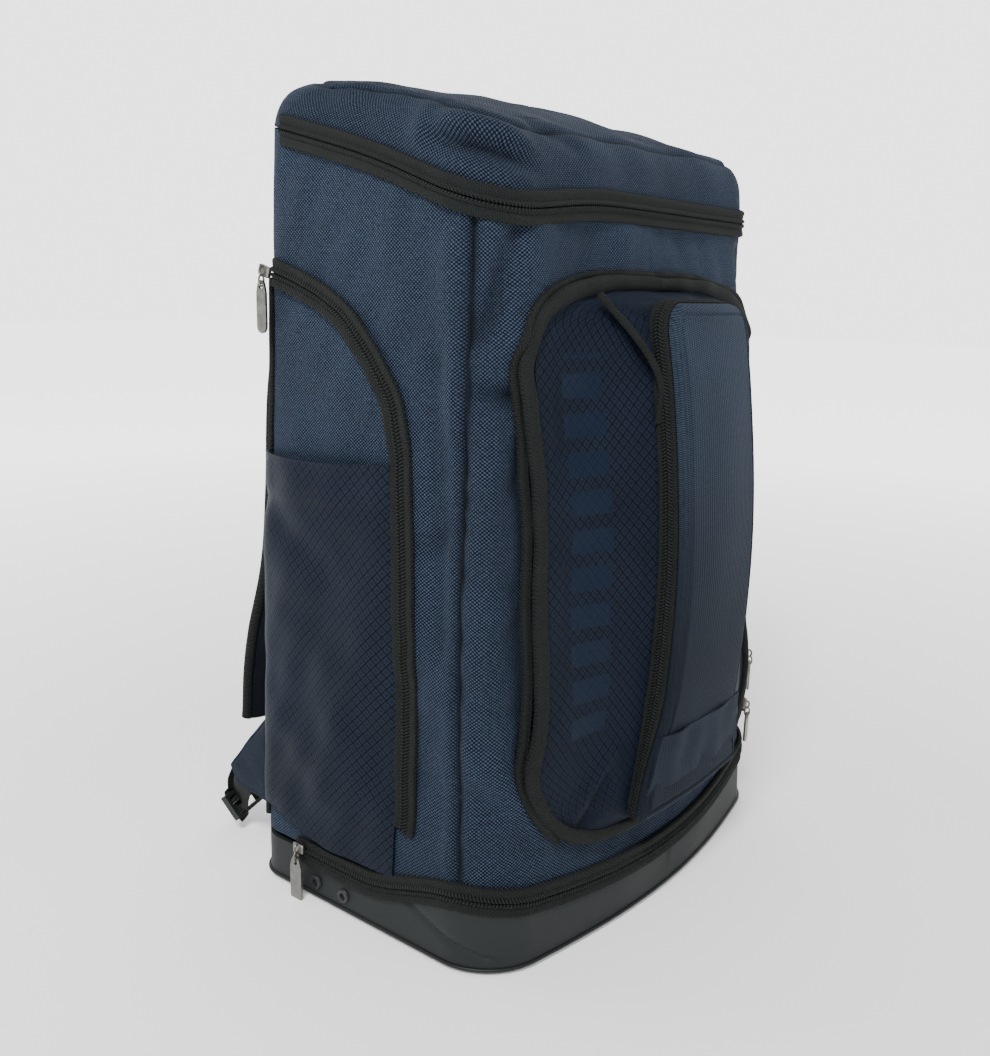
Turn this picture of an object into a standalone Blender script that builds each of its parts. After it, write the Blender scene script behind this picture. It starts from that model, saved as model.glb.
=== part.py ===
"""Sports backpack with a zipped top lid, shoe base, side access flaps and a front organiser.

Units are metres. The origin is the centre of the base's underside, +Z is up, the front
panel faces -Y, the shoulder straps are on +Y, and +X is on the right seen from the front.
Every piece is modelled in world coordinates and hung on an empty at its joint.
"""
import math

import bmesh
import bpy
from mathutils import Matrix, Vector

# ---------------------------------------------------------------- driving dimensions
GAP = 0.0003                # clearance between pieces that touch
WALL = 0.003                # padded fabric wall

BASE_HALF_WIDTH = 0.160     # half width at the floor
SIDE_LEAN = 0.0366          # the sides lean in by this much per metre of height
BACK_Y = 0.0957             # the back is one upright plane
BASE_FRONT_Y = -0.0957      # front face at the floor, before its bulge
FRONT_LEAN = 0.0468         # the front leans in by this much per metre of height
FRONT_BULGE = 0.0218        # how far the front swells at the floor
BULGE_TOP_Z = 0.415         # the swelling has faded at this height
FRONT_RADIUS = 0.0323
BACK_RADIUS = 0.020

LID_FRONT_Z = 0.4162        # middle of the lid's zip at the front
LID_SLOPE = 0.249           # the zip's plane rises towards the back
LID_FRONT_Y = -0.0765

BASE_ZIP_SIDE_Z = 0.029     # middle of the base's zip at the sides and back
BASE_ZIP_CORNER_Z = 0.0455  # and at the front corners
BASE_ZIP_SAG = 0.0140       # how much lower it is at the middle of the front
BASE_ZIP_SAG_REACH = 0.155  # half the width of that sag
BASE_ZIP_END_Y = 0.055      # the zip stops here on each side
FLOOR_THICK = 0.003
BOARD_THICK = 0.0025
TRAY_EDGE = 0.004           # chamfer round the tray's bottom edge

TAPE_WIDTH = 0.0085
TAPE_THICK = 0.0022
TAPE_LIFT = 0.0010          # tapes stand this far off the wall's flat facets
SPLIT = 0.0005              # half of the gap between two zipped rims

SHELF_Z = 0.100             # floor of the main compartment, over the shoe space

SIDE_ZIP = ((0.0835, 0.3775), (0.052, 0.3675), (0.0235, 0.3535), (0.002, 0.333),
            (-0.013, 0.311), (-0.020, 0.287), (-0.0245, 0.2445), (-0.0275, 0.2045),
            (-0.032, 0.070))
SIDE_ZIP_HALF = 0.0082      # width of each tape of a side zip
POCKET_FOLD_GAP = 0.0052    # half of the gap that the pocket's halves keep for the fold
FLAP_GAP = 0.0016           # clearance round the flap, which lets it turn on its fold
POCKET_TOP_Z = 0.276
POCKET_BOTTOM_Z = 0.056
POCKET_FRONT_BOTTOM_Z = 0.096   # the flap is too narrow for the pocket below this
POCKET_REAR_START_Y = -0.012
POCKET_BACK_Y = 0.0755
POCKET_BULGE = 0.0110
POCKET_THICK = 0.002

PANEL_OUTLINE = ((0.0, 0.379), (0.048, 0.379), (0.080, 0.375), (0.103, 0.368), (0.1195, 0.3555),
                 (0.1275, 0.335), (0.1265, 0.312), (0.1235, 0.280), (0.1215, 0.245), (0.124, 0.207),
                 (0.124, 0.165), (0.127, 0.137), (0.132, 0.116), (0.1285, 0.0955), (0.117, 0.079),
                 (0.098, 0.065), (0.068, 0.0575), (0.0, 0.0565))
BINDING_WIDTH = 0.009
BINDING_THICK = 0.0085
FRONT_TAPE_WIDTH = 0.0056
FRONT_TAPE_OUT = 0.0034     # middle of the zip's tape, outside the panel's outline
FRONT_TAPE_END_Z = 0.070
FRONT_SLIDER_OUT = 0.0044
PANEL_INNER = 0.0065        # the front pocket's depth behind its panel
PANEL_THICK = 0.002

ORG_TOP_Z = 0.365
ORG_BOTTOM_Z = 0.068
ORG_HALF_WIDTH = 0.045
ORG_FOOT_HALF_WIDTH = 0.064
ORG_FLARE_Z = 0.145         # the organiser widens below this height
ORG_CORNER = 0.018
ORG_FOOT_CORNER = 0.010
ORG_DEPTHS = ((0.068, 0.0175), (0.100, 0.0210), (0.145, 0.031), (0.207, 0.040),
              (0.262, 0.043), (0.320, 0.042), (0.365, 0.038))
ORG_STAND = 0.0015          # clearance behind the organiser, for the panel's flat facets
ORG_WALL = 0.0022
ORG_TAPE = 0.006
ORG_CROWN = 0.002           # how far the face swells at its middle
BAND_HEIGHTS = (0.088, 0.098, 0.109, 0.120)
BAND_THICK = 0.0022

SLIDER_SIZE = (0.0062, 0.0090, 0.0034)
PULL_THICK = 0.0014
PULL_HOLE = 0.0016
PULL_TOP = 0.0036           # from the hole's centre to the tab's top
BASE_PULL = (0.0310, 0.0098)    # length and width of each pull
SIDE_PULL = (0.0300, 0.0080)
LID_PULL = (0.0250, 0.0080)
FRONT_PULL = (0.0230, 0.0072)
BASE_ZIP_PARK_Y = 0.050
SIDE_ZIP_PARK = (0.0845, 0.3775)
SIDE_TRACK = (0.0, -0.93, -0.30)
LID_ZIP_PARK = ((0.036, "rear"), (0.020, "front"))
FRONT_ZIP_PARK = ((0.113, "upper"), (0.080, "lower"))
ORG_ZIP_PARK_Z = 0.309

BACK_PAD = ((0.072, 0.112, 0.0060), (0.080, 0.122, 0.0105), (0.150, 0.126, 0.0115),
            (0.250, 0.122, 0.0115), (0.350, 0.114, 0.0115), (0.402, 0.104, 0.0105),
            (0.412, 0.094, 0.0060))
FRAME_SHEET = (0.210, 0.002, 0.310)
FRAME_SHEET_Z = 0.265
SLEEVE_HALF_WIDTH = 0.118
SLEEVE_DEPTH = 0.024
SLEEVE_TOP_Z = 0.350
SLEEVE_WALL = 0.0015

STRAP_ROOT = (0.1000, 0.4360)   # y and z of the seam that holds both straps
STRAP_WIDTH = 0.062
STRAP_THICK = 0.010
STRAP_PATH = ((0.068, 0.1045, 0.434), (0.069, 0.1135, 0.418), (0.073, 0.1185, 0.390),
              (0.080, 0.1215, 0.350), (0.086, 0.1245, 0.300), (0.089, 0.1250, 0.240),
              (0.091, 0.1290, 0.190), (0.096, 0.1370, 0.146), (0.101, 0.1435, 0.108),
              (0.104, 0.1455, 0.078))
WEBBING_WIDTH = 0.025
WEBBING_THICK = 0.0018
STRAP_WEB = ((0.1060, 0.1465, 0.0705), (0.1130, 0.1515, 0.0590),
             (0.1210, 0.1560, 0.0460), (0.1255, 0.1580, 0.0340))
LOCK_CENTRE = (0.1285, 0.1515, 0.0190)
LOCK_ACROSS = (-0.0155, -0.0125, 0.0125, 0.0155)    # edges of the buckle's bars
LOCK_UP = (-0.0105, -0.0080, -0.0030, 0.0000, 0.0050, 0.0080)
LOCK_SLOTS = {(1, 1), (1, 3)}
LOCK_THICK = 0.0040
ANCHOR_TAB = ((0.0925, 0.1040), (0.1120, 0.0830), (0.1330, 0.0575), (0.1265, 0.0450),
              (0.1080, 0.0440), (0.0925, 0.0420))
ANCHOR_TAB_X = (0.1490, 0.1512)
LOWER_WEB = ((0.1474, 0.1160, 0.0560), (0.1468, 0.1240, 0.0480), (0.1435, 0.1300, 0.0420))
LOWER_WEB_WIDTH = 0.020

HANDLE_HALF = ((0.0295, 0.0985, 0.4455), (0.0280, 0.1010, 0.4360), (0.0220, 0.1120, 0.4240),
               (0.0090, 0.1160, 0.4175))
HANDLE_WIDTH = 0.0070
HANDLE_THICK = 0.0044

# ---------------------------------------------------------------- colours
MATERIALS = {
    "navy_weave": ((0.028, 0.043, 0.082), 0.85, 0.0),
    "navy_ripstop": ((0.022, 0.032, 0.060), 0.62, 0.0),
    "navy_twill": ((0.035, 0.055, 0.100), 0.80, 0.0),
    "coated_base": ((0.030, 0.034, 0.036), 0.50, 0.0),
    "webbing": ((0.024, 0.026, 0.021), 0.90, 0.0),
    "lining": ((0.030, 0.032, 0.036), 0.80, 0.0),
    "board": ((0.060, 0.060, 0.062), 0.60, 0.0),
    "spacer_mesh": ((0.012, 0.014, 0.018), 0.95, 0.0),
    "pull_metal": ((0.300, 0.300, 0.290), 0.38, 1.0),
    "moulded_black": ((0.018, 0.019, 0.020), 0.45, 0.0),
}


def clear_scene():
    for item in list(bpy.data.objects):
        bpy.data.objects.remove(item, do_unlink=True)


def material(name):
    found = bpy.data.materials.get(name)
    if found:
        return found
    colour, roughness, metallic = MATERIALS[name]
    made = bpy.data.materials.new(name)
    made.use_nodes = True
    shader = made.node_tree.nodes["Principled BSDF"]
    shader.inputs["Base Color"].default_value = (*colour, 1.0)
    shader.inputs["Roughness"].default_value = roughness
    shader.inputs["Metallic"].default_value = metallic
    return made


# ---------------------------------------------------------------- the bag's outer form
def half_width(z):
    return BASE_HALF_WIDTH - SIDE_LEAN * z


def front_y(z):
    return BASE_FRONT_Y + FRONT_LEAN * z


def front_bulge(z):
    return FRONT_BULGE * max(0.0, 1.0 - z / BULGE_TOP_Z)


def bulged(x, y, z):
    """Push a point of the plain rounded rectangle out by the front's swelling."""
    middle = (front_y(z) + BACK_Y) / 2
    if y >= middle:
        return x, y
    share = (middle - y) / (middle - front_y(z))
    across = math.cos(math.pi / 2 * min(abs(x) / half_width(z), 1.0))
    return x, y - front_bulge(z) * across * share


def run(start, end, steps):
    """Points from start to end, leaving the end out."""
    points = []
    for i in range(steps):
        t = i / steps
        points.append((start[0] + (end[0] - start[0]) * t, start[1] + (end[1] - start[1]) * t))
    return points


def corner(centre, radius, first_degrees, steps):
    points = []
    for i in range(steps):
        angle = math.radians(first_degrees + 90.0 * i / steps)
        points.append((centre[0] + radius * math.cos(angle),
                       centre[1] + radius * math.sin(angle)))
    return points


SIDE_STEPS = 8
FRONT_STEPS = 12
BACK_STEPS = 8
CORNER_STEPS = 5
RIM_OPEN_COUNT = 2 * SIDE_STEPS + FRONT_STEPS + 2 * CORNER_STEPS + 1


def ring(z, inset=0.0, back_radius=BACK_RADIUS):
    """Outline of the bag at a height, counter-clockwise from the back of the left side."""
    wide = half_width(z) - inset
    front = front_y(z) + inset
    back = BACK_Y - inset
    rf = max(FRONT_RADIUS - inset, 0.002)
    rb = max(back_radius - inset, 0.002)
    points = run((-wide, back - rb), (-wide, front + rf), SIDE_STEPS)
    points += corner((-wide + rf, front + rf), rf, 180.0, CORNER_STEPS)
    points += run((-wide + rf, front), (wide - rf, front), FRONT_STEPS)
    points += corner((wide - rf, front + rf), rf, 270.0, CORNER_STEPS)
    points += run((wide, front + rf), (wide, back - rb), SIDE_STEPS)
    points += corner((wide - rb, back - rb), rb, 0.0, CORNER_STEPS)
    points += run((wide - rb, back), (-wide + rb, back), BACK_STEPS)
    points += corner((-wide + rb, back - rb), rb, 90.0, CORNER_STEPS)
    return [bulged(x, y, z) for x, y in points]


def fitted_ring(height, inset=0.0):
    """Ring whose height changes round the bag; height is a function of x and y."""
    points = []
    start_z = 0.0 if height(0.0, 0.0) < SHELF_Z else LID_FRONT_Z
    for i, (x, y) in enumerate(ring(start_z, inset)):
        z = height(x, y)
        x, y = ring(z, inset)[i]
        points.append(Vector((x, y, height(x, y))))
    return points


def lid_zip_z(x, y):
    return LID_FRONT_Z + LID_SLOPE * (y - LID_FRONT_Y)


def base_zip_z(x, y):
    """The base's zip dips along the sides and sags a little across the front."""
    rise = min(max(-y / 0.075, 0.0), 1.0)
    rise = rise * rise * (3.0 - 2.0 * rise)
    sag = BASE_ZIP_SAG * max(0.0, 1.0 - (abs(x) / BASE_ZIP_SAG_REACH) ** 2) * rise
    return BASE_ZIP_SIDE_Z + (BASE_ZIP_CORNER_Z - BASE_ZIP_SIDE_Z) * rise - sag


def front_surface(x, z):
    wide = half_width(z)
    front = front_y(z)
    over = abs(x) - (wide - FRONT_RADIUS)
    y = front
    if over > 0.0:
        y = front + FRONT_RADIUS - math.sqrt(max(FRONT_RADIUS ** 2 - over ** 2, 1e-9))
    x, y = bulged(x, y, z)
    return Vector((x, y, z))


def front_normal(x, z):
    step = 0.0002
    across = front_surface(x + step, z) - front_surface(x - step, z)
    up = front_surface(x, z + step) - front_surface(x, z - step)
    return across.cross(up).normalized()


def front_point(x, z, out=0.0):
    return front_surface(x, z) + front_normal(x, z) * out


def side_surface(side, y, z):
    """side is -1 for the left and +1 for the right."""
    wide = half_width(z)
    back_over = y - (BACK_Y - BACK_RADIUS)
    front_over = (front_y(z) + FRONT_RADIUS) - y
    x = wide
    if back_over > 0.0:
        x = wide - BACK_RADIUS + math.sqrt(max(BACK_RADIUS ** 2 - back_over ** 2, 1e-9))
    if front_over > 0.0:
        x = wide - FRONT_RADIUS + math.sqrt(max(FRONT_RADIUS ** 2 - front_over ** 2, 1e-9))
    return Vector((side * x, y, z))


def side_normal(side, y, z):
    step = 0.0002
    along = side_surface(side, y + step, z) - side_surface(side, y - step, z)
    up = side_surface(side, y, z + step) - side_surface(side, y, z - step)
    return along.cross(up).normalized() * side


def side_point(side, y, z, out=0.0):
    return side_surface(side, y, z) + side_normal(side, y, z) * out


def smooth(points, per_span, closed=False):
    """Catmull-Rom curve through hand-placed points of any dimension."""
    points = [Vector(p) for p in points]
    count = len(points)
    spans = count if closed else count - 1
    curve = []
    for s in range(spans):
        if closed:
            a, b, c, d = (points[(s + k) % count] for k in (-1, 0, 1, 2))
        else:
            a = points[max(s - 1, 0)]
            b = points[s]
            c = points[s + 1]
            d = points[min(s + 2, count - 1)]
        for i in range(per_span):
            t = i / per_span
            curve.append(((b * 2) + (c - a) * t + (a * 2 - b * 5 + c * 4 - d) * t ** 2
                          + (b * 3 - a - c * 3 + d) * t ** 3) * 0.5)
    if not closed:
        curve.append(points[-1])
    return curve


def blend_table(table, value):
    """Read a short table of (position, amount) rows, straight between them."""
    if value <= table[0][0]:
        return table[0][1]
    for (a, fa), (b, fb) in zip(table, table[1:]):
        if value <= b:
            return fa + (fb - fa) * (value - a) / (b - a)
    return table[-1][1]


# ---------------------------------------------------------------- joints' empties
PIVOTS = {}
EMPTIES = {}


def joint_empty(body, pivot, parent=None):
    empty = bpy.data.objects.new("joint_" + body, None)
    bpy.context.scene.collection.objects.link(empty)
    PIVOTS[body] = Vector(pivot)
    EMPTIES[body] = empty
    if parent:
        empty.parent = EMPTIES[parent]
        empty.location = PIVOTS[body] - PIVOTS[parent]
    else:
        empty.location = PIVOTS[body]
    return empty


# ---------------------------------------------------------------- solids
def finish_solid(name, body, slot, shape, smooth_angle=35.0):
    """Turn a bmesh in world coordinates into a node that hangs on its body's empty."""
    bmesh.ops.remove_doubles(shape, verts=shape.verts, dist=1e-6)
    bmesh.ops.recalc_face_normals(shape, faces=shape.faces)
    bmesh.ops.translate(shape, verts=shape.verts, vec=-PIVOTS[body])
    mesh = bpy.data.meshes.new(name)
    shape.to_mesh(mesh)
    shape.free()
    mesh.shade_smooth()
    mesh.set_sharp_from_angle(angle=math.radians(smooth_angle))
    mesh.materials.append(material(slot))
    item = bpy.data.objects.new(name, mesh)
    bpy.context.scene.collection.objects.link(item)
    item.parent = EMPTIES[body]
    return item


def loft(name, body, slot, rings, caps=True, loop=False, **options):
    """Join equal rings in order; caps close both ends, loop joins the last to the first."""
    shape = bmesh.new()
    rows = [[shape.verts.new(p) for p in points] for points in rings]
    pairs = list(zip(rows, rows[1:]))
    if loop:
        pairs.append((rows[-1], rows[0]))
    for low, high in pairs:
        for i in range(len(low)):
            j = (i + 1) % len(low)
            shape.faces.new((low[i], low[j], high[j], high[i]))
    if caps and not loop:
        for row in (rows[0], rows[-1]):
            centre = shape.verts.new(sum((v.co for v in row), Vector()) / len(row))
            for i in range(len(row)):
                shape.faces.new((row[i], row[(i + 1) % len(row)], centre))
    return finish_solid(name, body, slot, shape, **options)


def slab(name, body, slot, outer, inner, **options):
    """Closed plate between two equal grids of points."""
    shape = bmesh.new()
    high = [[shape.verts.new(p) for p in row] for row in outer]
    low = [[shape.verts.new(p) for p in row] for row in inner]
    rows = len(high)
    columns = len(high[0])
    for i in range(rows - 1):
        for j in range(columns - 1):
            shape.faces.new((high[i][j], high[i][j + 1], high[i + 1][j + 1], high[i + 1][j]))
            shape.faces.new((low[i][j], low[i + 1][j], low[i + 1][j + 1], low[i][j + 1]))
    edge = [(0, j) for j in range(columns - 1)]
    edge += [(i, columns - 1) for i in range(rows - 1)]
    edge += [(rows - 1, j) for j in range(columns - 1, 0, -1)]
    edge += [(i, 0) for i in range(rows - 1, 0, -1)]
    for k, (i, j) in enumerate(edge):
        m, n = edge[(k + 1) % len(edge)]
        shape.faces.new((high[i][j], low[i][j], low[m][n], high[m][n]))
    return finish_solid(name, body, slot, shape, **options)


def ribbon_rings(points, normals, width, low, high, closed):
    """Rectangular sections of a strip that lies on a surface along a line of points."""
    sections = []
    count = len(points)
    for i in range(count):
        before = points[(i - 1) % count] if closed or i else points[0]
        after = points[(i + 1) % count] if closed or i < count - 1 else points[-1]
        side = (after - before).normalized().cross(normals[i]).normalized() * (width / 2)
        base = points[i] + normals[i] * low
        top = points[i] + normals[i] * high
        sections.append([base - side, base + side, top + side, top - side])
    return sections


def ribbon(name, body, slot, points, normals, width, low, high, closed=False, **options):
    sections = ribbon_rings(points, normals, width, low, high, closed)
    return loft(name, body, slot, sections, caps=not closed, loop=closed, **options)


def strap(name, body, slot, path, width, thick, across, chamfer=0.0, **options):
    """Band along a free path; across is its width direction."""
    across = Vector(across).normalized()
    sections = []
    for i, point in enumerate(path):
        before = path[max(i - 1, 0)]
        after = path[min(i + 1, len(path) - 1)]
        tangent = (after - before).normalized()
        side = (across - tangent * across.dot(tangent)).normalized()
        normal = side.cross(tangent).normalized()
        w = width / 2
        t = thick / 2
        c = chamfer
        corners = [(-w + c, -t), (w - c, -t), (w, -t + c), (w, t - c),
                   (w - c, t), (-w + c, t), (-w, t - c), (-w, -t + c)]
        if chamfer == 0.0:
            corners = corners[::2]
        sections.append([point + side * a + normal * b for a, b in corners])
    return loft(name, body, slot, sections, **options)


def block(name, body, slot, centre, size, bevel=0.0, along=None, out=None, **options):
    """Box with its length on `along` and its height on `out`; both default to Y and Z."""
    along = Vector(along or (0.0, 1.0, 0.0)).normalized()
    out = Vector(out or (0.0, 0.0, 1.0))
    out = (out - along * out.dot(along)).normalized()
    across = along.cross(out)
    shape = bmesh.new()
    bmesh.ops.create_cube(shape, size=1.0)
    for vert in shape.verts:
        x, y, z = vert.co
        vert.co = (Vector(centre) + across * (x * size[0]) + along * (y * size[1])
                   + out * (z * size[2]))
    item = finish_solid(name, body, slot, shape, **options)
    if bevel:
        edges = item.modifiers.new("soft_edges", "BEVEL")
        edges.width = bevel
        edges.segments = 1
    return item


def cut(item, cutter, operation="DIFFERENCE"):
    boolean = item.modifiers.new("cut", "BOOLEAN")
    boolean.operation = operation
    boolean.object = cutter
    boolean.solver = "EXACT"


def prism(name, outline, x_low, x_high):
    """Cutter with an outline in Y and Z that runs along X."""
    shape = bmesh.new()
    ends = [[shape.verts.new((x, y, z)) for y, z in outline] for x in (x_low, x_high)]
    for i in range(len(outline)):
        j = (i + 1) % len(outline)
        shape.faces.new((ends[0][i], ends[0][j], ends[1][j], ends[1][i]))
    shape.faces.new(ends[0])
    shape.faces.new(ends[1][::-1])
    bmesh.ops.recalc_face_normals(shape, faces=shape.faces)
    mesh = bpy.data.meshes.new(name)
    shape.to_mesh(mesh)
    shape.free()
    cutter = bpy.data.objects.new(name, mesh)
    bpy.context.scene.collection.objects.link(cutter)
    cutter.hide_render = True
    cutter.display_type = "WIRE"
    return cutter


# ---------------------------------------------------------------- base
def build_base():
    def top(x, y):
        return base_zip_z(x, y) - SPLIT

    rim_outer = fitted_ring(top)
    rim_inner = fitted_ring(top, WALL)
    rings = [[Vector((x, y, 0.0)) for x, y in ring(0.0, TRAY_EDGE)],
             [Vector((x, y, TRAY_EDGE)) for x, y in ring(TRAY_EDGE)],
             rim_outer,
             rim_inner,
             [Vector((x, y, FLOOR_THICK)) for x, y in ring(FLOOR_THICK, WALL + 0.001)]]
    loft("base_tray", "base", "coated_base", rings)

    low = FLOOR_THICK + GAP
    outline = ring(low, WALL + 0.004)
    board = [[Vector((x, y, z)) for x, y in outline] for z in (low, low + BOARD_THICK)]
    loft("base_board", "base", "board", board)

    for name, body, sign in (("base_tape_lower", "base", -1), ("base_tape_upper", "pack", 1)):
        def middle(x, y, sign=sign):
            return base_zip_z(x, y) + sign * (SPLIT + TAPE_WIDTH / 2)

        line = [p for p in fitted_ring(middle)[:RIM_OPEN_COUNT] if p.y < BASE_ZIP_END_Y]
        ribbon(name, body, "webbing", line, rim_normals(line), TAPE_WIDTH - 0.0002,
               TAPE_LIFT, TAPE_LIFT + TAPE_THICK)

    for side, word in ((-1, "left"), (1, "right")):
        for y, place in ((0.040, "rear"), (0.016, "front")):
            eyelet(f"eyelet_{word}_{place}", side, y, 0.0115)


def rim_normals(line):
    """Level outward normals of an open line that runs counter-clockwise round the bag."""
    normals = []
    for i in range(len(line)):
        tangent = line[min(i + 1, len(line) - 1)] - line[max(i - 1, 0)]
        normals.append(Vector((tangent.y, -tangent.x, 0.0)).normalized())
    return normals


def eyelet(name, side, y, z):
    """Flanged ring on the tray's side wall."""
    centre = side_surface(side, y, z)
    sections = []
    steps = 14
    for radius, out in ((0.0020, GAP), (0.0046, GAP), (0.0040, 0.0014), (0.0024, 0.0014)):
        circle = []
        for i in range(steps):
            angle = 2 * math.pi * i / steps
            across, up = radius * math.cos(angle), radius * math.sin(angle)
            circle.append(centre + Vector((side * out, across, up)))
        sections.append(circle)
    loft(name, "base", "moulded_black", sections, loop=True)


# ---------------------------------------------------------------- main shell
def shell_rings(rows):
    def bottom(x, y):
        return base_zip_z(x, y) + SPLIT

    def top(x, y):
        return lid_zip_z(x, y) - SPLIT

    surfaces = []
    for inset in (0.0, WALL):
        low = fitted_ring(bottom, inset)
        high = fitted_ring(top, inset)
        layers = []
        for r in range(rows + 1):
            layer = []
            for i in range(len(low)):
                z = low[i].z + (high[i].z - low[i].z) * r / rows
                x, y = ring(z, inset)[i]
                layer.append(Vector((x, y, z)))
            layers.append(layer)
        layers[0] = low
        layers[-1] = high
        surfaces.append(layers)
    return surfaces[0] + surfaces[1][::-1]


def inset_outline(points, distance):
    """Move every edge of a closed outline inwards by distance and join the edges again."""
    count = len(points)
    area = 0.0
    for i in range(count):
        following = points[(i + 1) % count]
        area += points[i].x * following.y - following.x * points[i].y
    turn = 1.0 if area > 0.0 else -1.0
    moved = []
    for i, point in enumerate(points):
        before = (point - points[i - 1]).normalized()
        after = (points[(i + 1) % count] - point).normalized()
        inward = (Vector((-before.y, before.x)) + Vector((-after.y, after.x))) * turn
        inward.normalize()
        reach = inward.dot(Vector((-after.y, after.x)) * turn)
        moved.append(point + inward * (distance / max(reach, 0.25)))
    return moved


def flap_outline(inset):
    """The side flap in Y and Z: its zipped edge, closed by the straight fold line."""
    return inset_outline(smooth(SIDE_ZIP, 3), inset)


def fold_y(z):
    """Where the flap's straight fold line is at a height."""
    (y0, z0), (y1, z1) = SIDE_ZIP[0], SIDE_ZIP[-1]
    return y1 + (y0 - y1) * (z - z1) / (z0 - z1)


def build_shell():
    rings = shell_rings(4)
    shell = loft("main_shell", "pack", "navy_weave", rings, loop=True)
    for side, word in ((-1, "left"), (1, "right")):
        reach = (side * (BASE_HALF_WIDTH - 0.040), side * (BASE_HALF_WIDTH + 0.015))
        window = prism(f"window_{word}", flap_outline(0.0), *reach)
        cut(shell, window)
        flap = loft(f"side_flap_{word}", f"flap_{word}", "navy_weave", rings, loop=True)
        keep = prism(f"flap_keep_{word}", flap_outline(FLAP_GAP), *reach)
        cut(flap, keep, "INTERSECT")

    shelf = []
    for z in (SHELF_Z, SHELF_Z + BOARD_THICK):
        shelf.append([Vector((x, y, z)) for x, y in ring(z, WALL + 2 * GAP)])
    loft("shoe_divider", "pack", "lining", shelf)

    sheet_y = BACK_Y - WALL - 2 * GAP - FRAME_SHEET[1] / 2
    block("frame_sheet", "pack", "board", (0.0, sheet_y, FRAME_SHEET_Z), FRAME_SHEET)
    build_sleeve(sheet_y - FRAME_SHEET[1] / 2 - 0.0005)
    build_back_panel(BACK_Y + GAP)

    def below(x, y):
        return lid_zip_z(x, y) - SPLIT - TAPE_WIDTH / 2

    line = fitted_ring(below)[:RIM_OPEN_COUNT]
    ribbon("lid_tape_lower", "pack", "webbing", line, rim_normals(line), TAPE_WIDTH - 0.0002,
           TAPE_LIFT, TAPE_LIFT + TAPE_THICK)


def build_back_panel(low):
    """Padded back panel: level sections with pulled-in ends, from bottom to top."""
    sections = []
    for z, half, thick in BACK_PAD:
        middle = low + thick / 2
        high = low + thick
        outline = ((-half, low), (half, low), (half, middle), (half - 0.006, high),
                   (0.0, high), (-half + 0.006, high), (-half, middle))
        sections.append([Vector((x, y, z)) for x, y in outline])
    loft("back_panel", "pack", "spacer_mesh", sections)


def build_sleeve(back):
    """Open-topped laptop sleeve against the frame sheet."""
    front = back - SLEEVE_DEPTH
    floor = SHELF_Z + BOARD_THICK + 0.0005

    def rectangle(inset, z):
        half = SLEEVE_HALF_WIDTH - inset
        corners = ((-half, front + inset), (half, front + inset),
                   (half, back - inset), (-half, back - inset))
        return [Vector((x, y, z)) for x, y in corners]

    rings = [rectangle(0.0, floor), rectangle(0.0, SLEEVE_TOP_Z),
             rectangle(SLEEVE_WALL, SLEEVE_TOP_Z), rectangle(SLEEVE_WALL, floor + SLEEVE_WALL)]
    loft("laptop_sleeve", "pack", "lining", rings)


# ---------------------------------------------------------------- lid
LID_PROFILE = ((0.0005, 0.0, 0.020), (0.0130, 0.0, 0.024), (0.0235, 0.0008, 0.036),
               (0.0305, 0.0040, 0.050), (0.0350, 0.0100, 0.062), (0.0372, 0.0190, 0.072),
               (0.0390, 0.0360, 0.084), (0.0408, 0.0580, 0.096), (0.0420, 0.0760, 0.090))
LID_CEILING = 0.0372        # levels above this height are solid
LID_REAR_DROP = 0.16        # the lid is lower by this share at the back
LID_DROP_START_Y = -0.020


def lid_ring(height, inset, back_radius):
    """One level of the lid: height above the zip's plane, inset, and rear corner radius."""
    points = []
    for i, (x, y) in enumerate(ring(LID_FRONT_Z, inset, back_radius)):
        z = lid_zip_z(x, y) + height
        x, y = ring(z, inset, back_radius)[i]
        rear = min(max((y - LID_DROP_START_Y) / (BACK_Y - LID_DROP_START_Y), 0.0), 1.0)
        points.append(Vector((x, y, lid_zip_z(x, y) + height * (1.0 - LID_REAR_DROP * rear))))
    return points


def build_lid():
    outer = [lid_ring(*level) for level in LID_PROFILE]
    rim = LID_PROFILE[0][0]
    inner = [lid_ring(rim, WALL, BACK_RADIUS)]
    inner += [lid_ring(height - WALL, inset + WALL, back_radius)
              for height, inset, back_radius in LID_PROFILE[1:] if height <= LID_CEILING]
    loft("lid_shell", "lid", "navy_weave", inner[::-1] + outer)

    def above(x, y):
        return lid_zip_z(x, y) + SPLIT + TAPE_WIDTH / 2

    line = fitted_ring(above)[:RIM_OPEN_COUNT]
    ribbon("lid_tape_upper", "lid", "webbing", line, rim_normals(line), TAPE_WIDTH - 0.0002,
           TAPE_LIFT, TAPE_LIFT + TAPE_THICK)


# ---------------------------------------------------------------- sides
def build_side(side, word):
    curve = smooth(SIDE_ZIP, 3)
    centre = sum(curve, Vector((0.0, 0.0))) / len(curve)
    for name, body, sign in ((f"side_tape_outer_{word}", "pack", 1),
                             (f"side_tape_inner_{word}", f"flap_{word}", -1)):
        points = []
        normals = []
        for i, point in enumerate(curve):
            tangent = (curve[min(i + 1, len(curve) - 1)] - curve[max(i - 1, 0)]).normalized()
            away = Vector((tangent.y, -tangent.x))
            if away.dot(point - centre) < 0:
                away = -away
            y, z = point + away * sign * (SIDE_ZIP_HALF / 2 + 0.0003)
            points.append(side_surface(side, y, z))
            normals.append(side_normal(side, y, z))
        if sign < 0:
            points = points[2:-1]
            normals = normals[2:-1]
        ribbon(name, body, "webbing", points, normals, SIDE_ZIP_HALF - 0.0004, TAPE_LIFT,
               TAPE_LIFT + TAPE_THICK)
    build_pocket(side, word)


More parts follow.
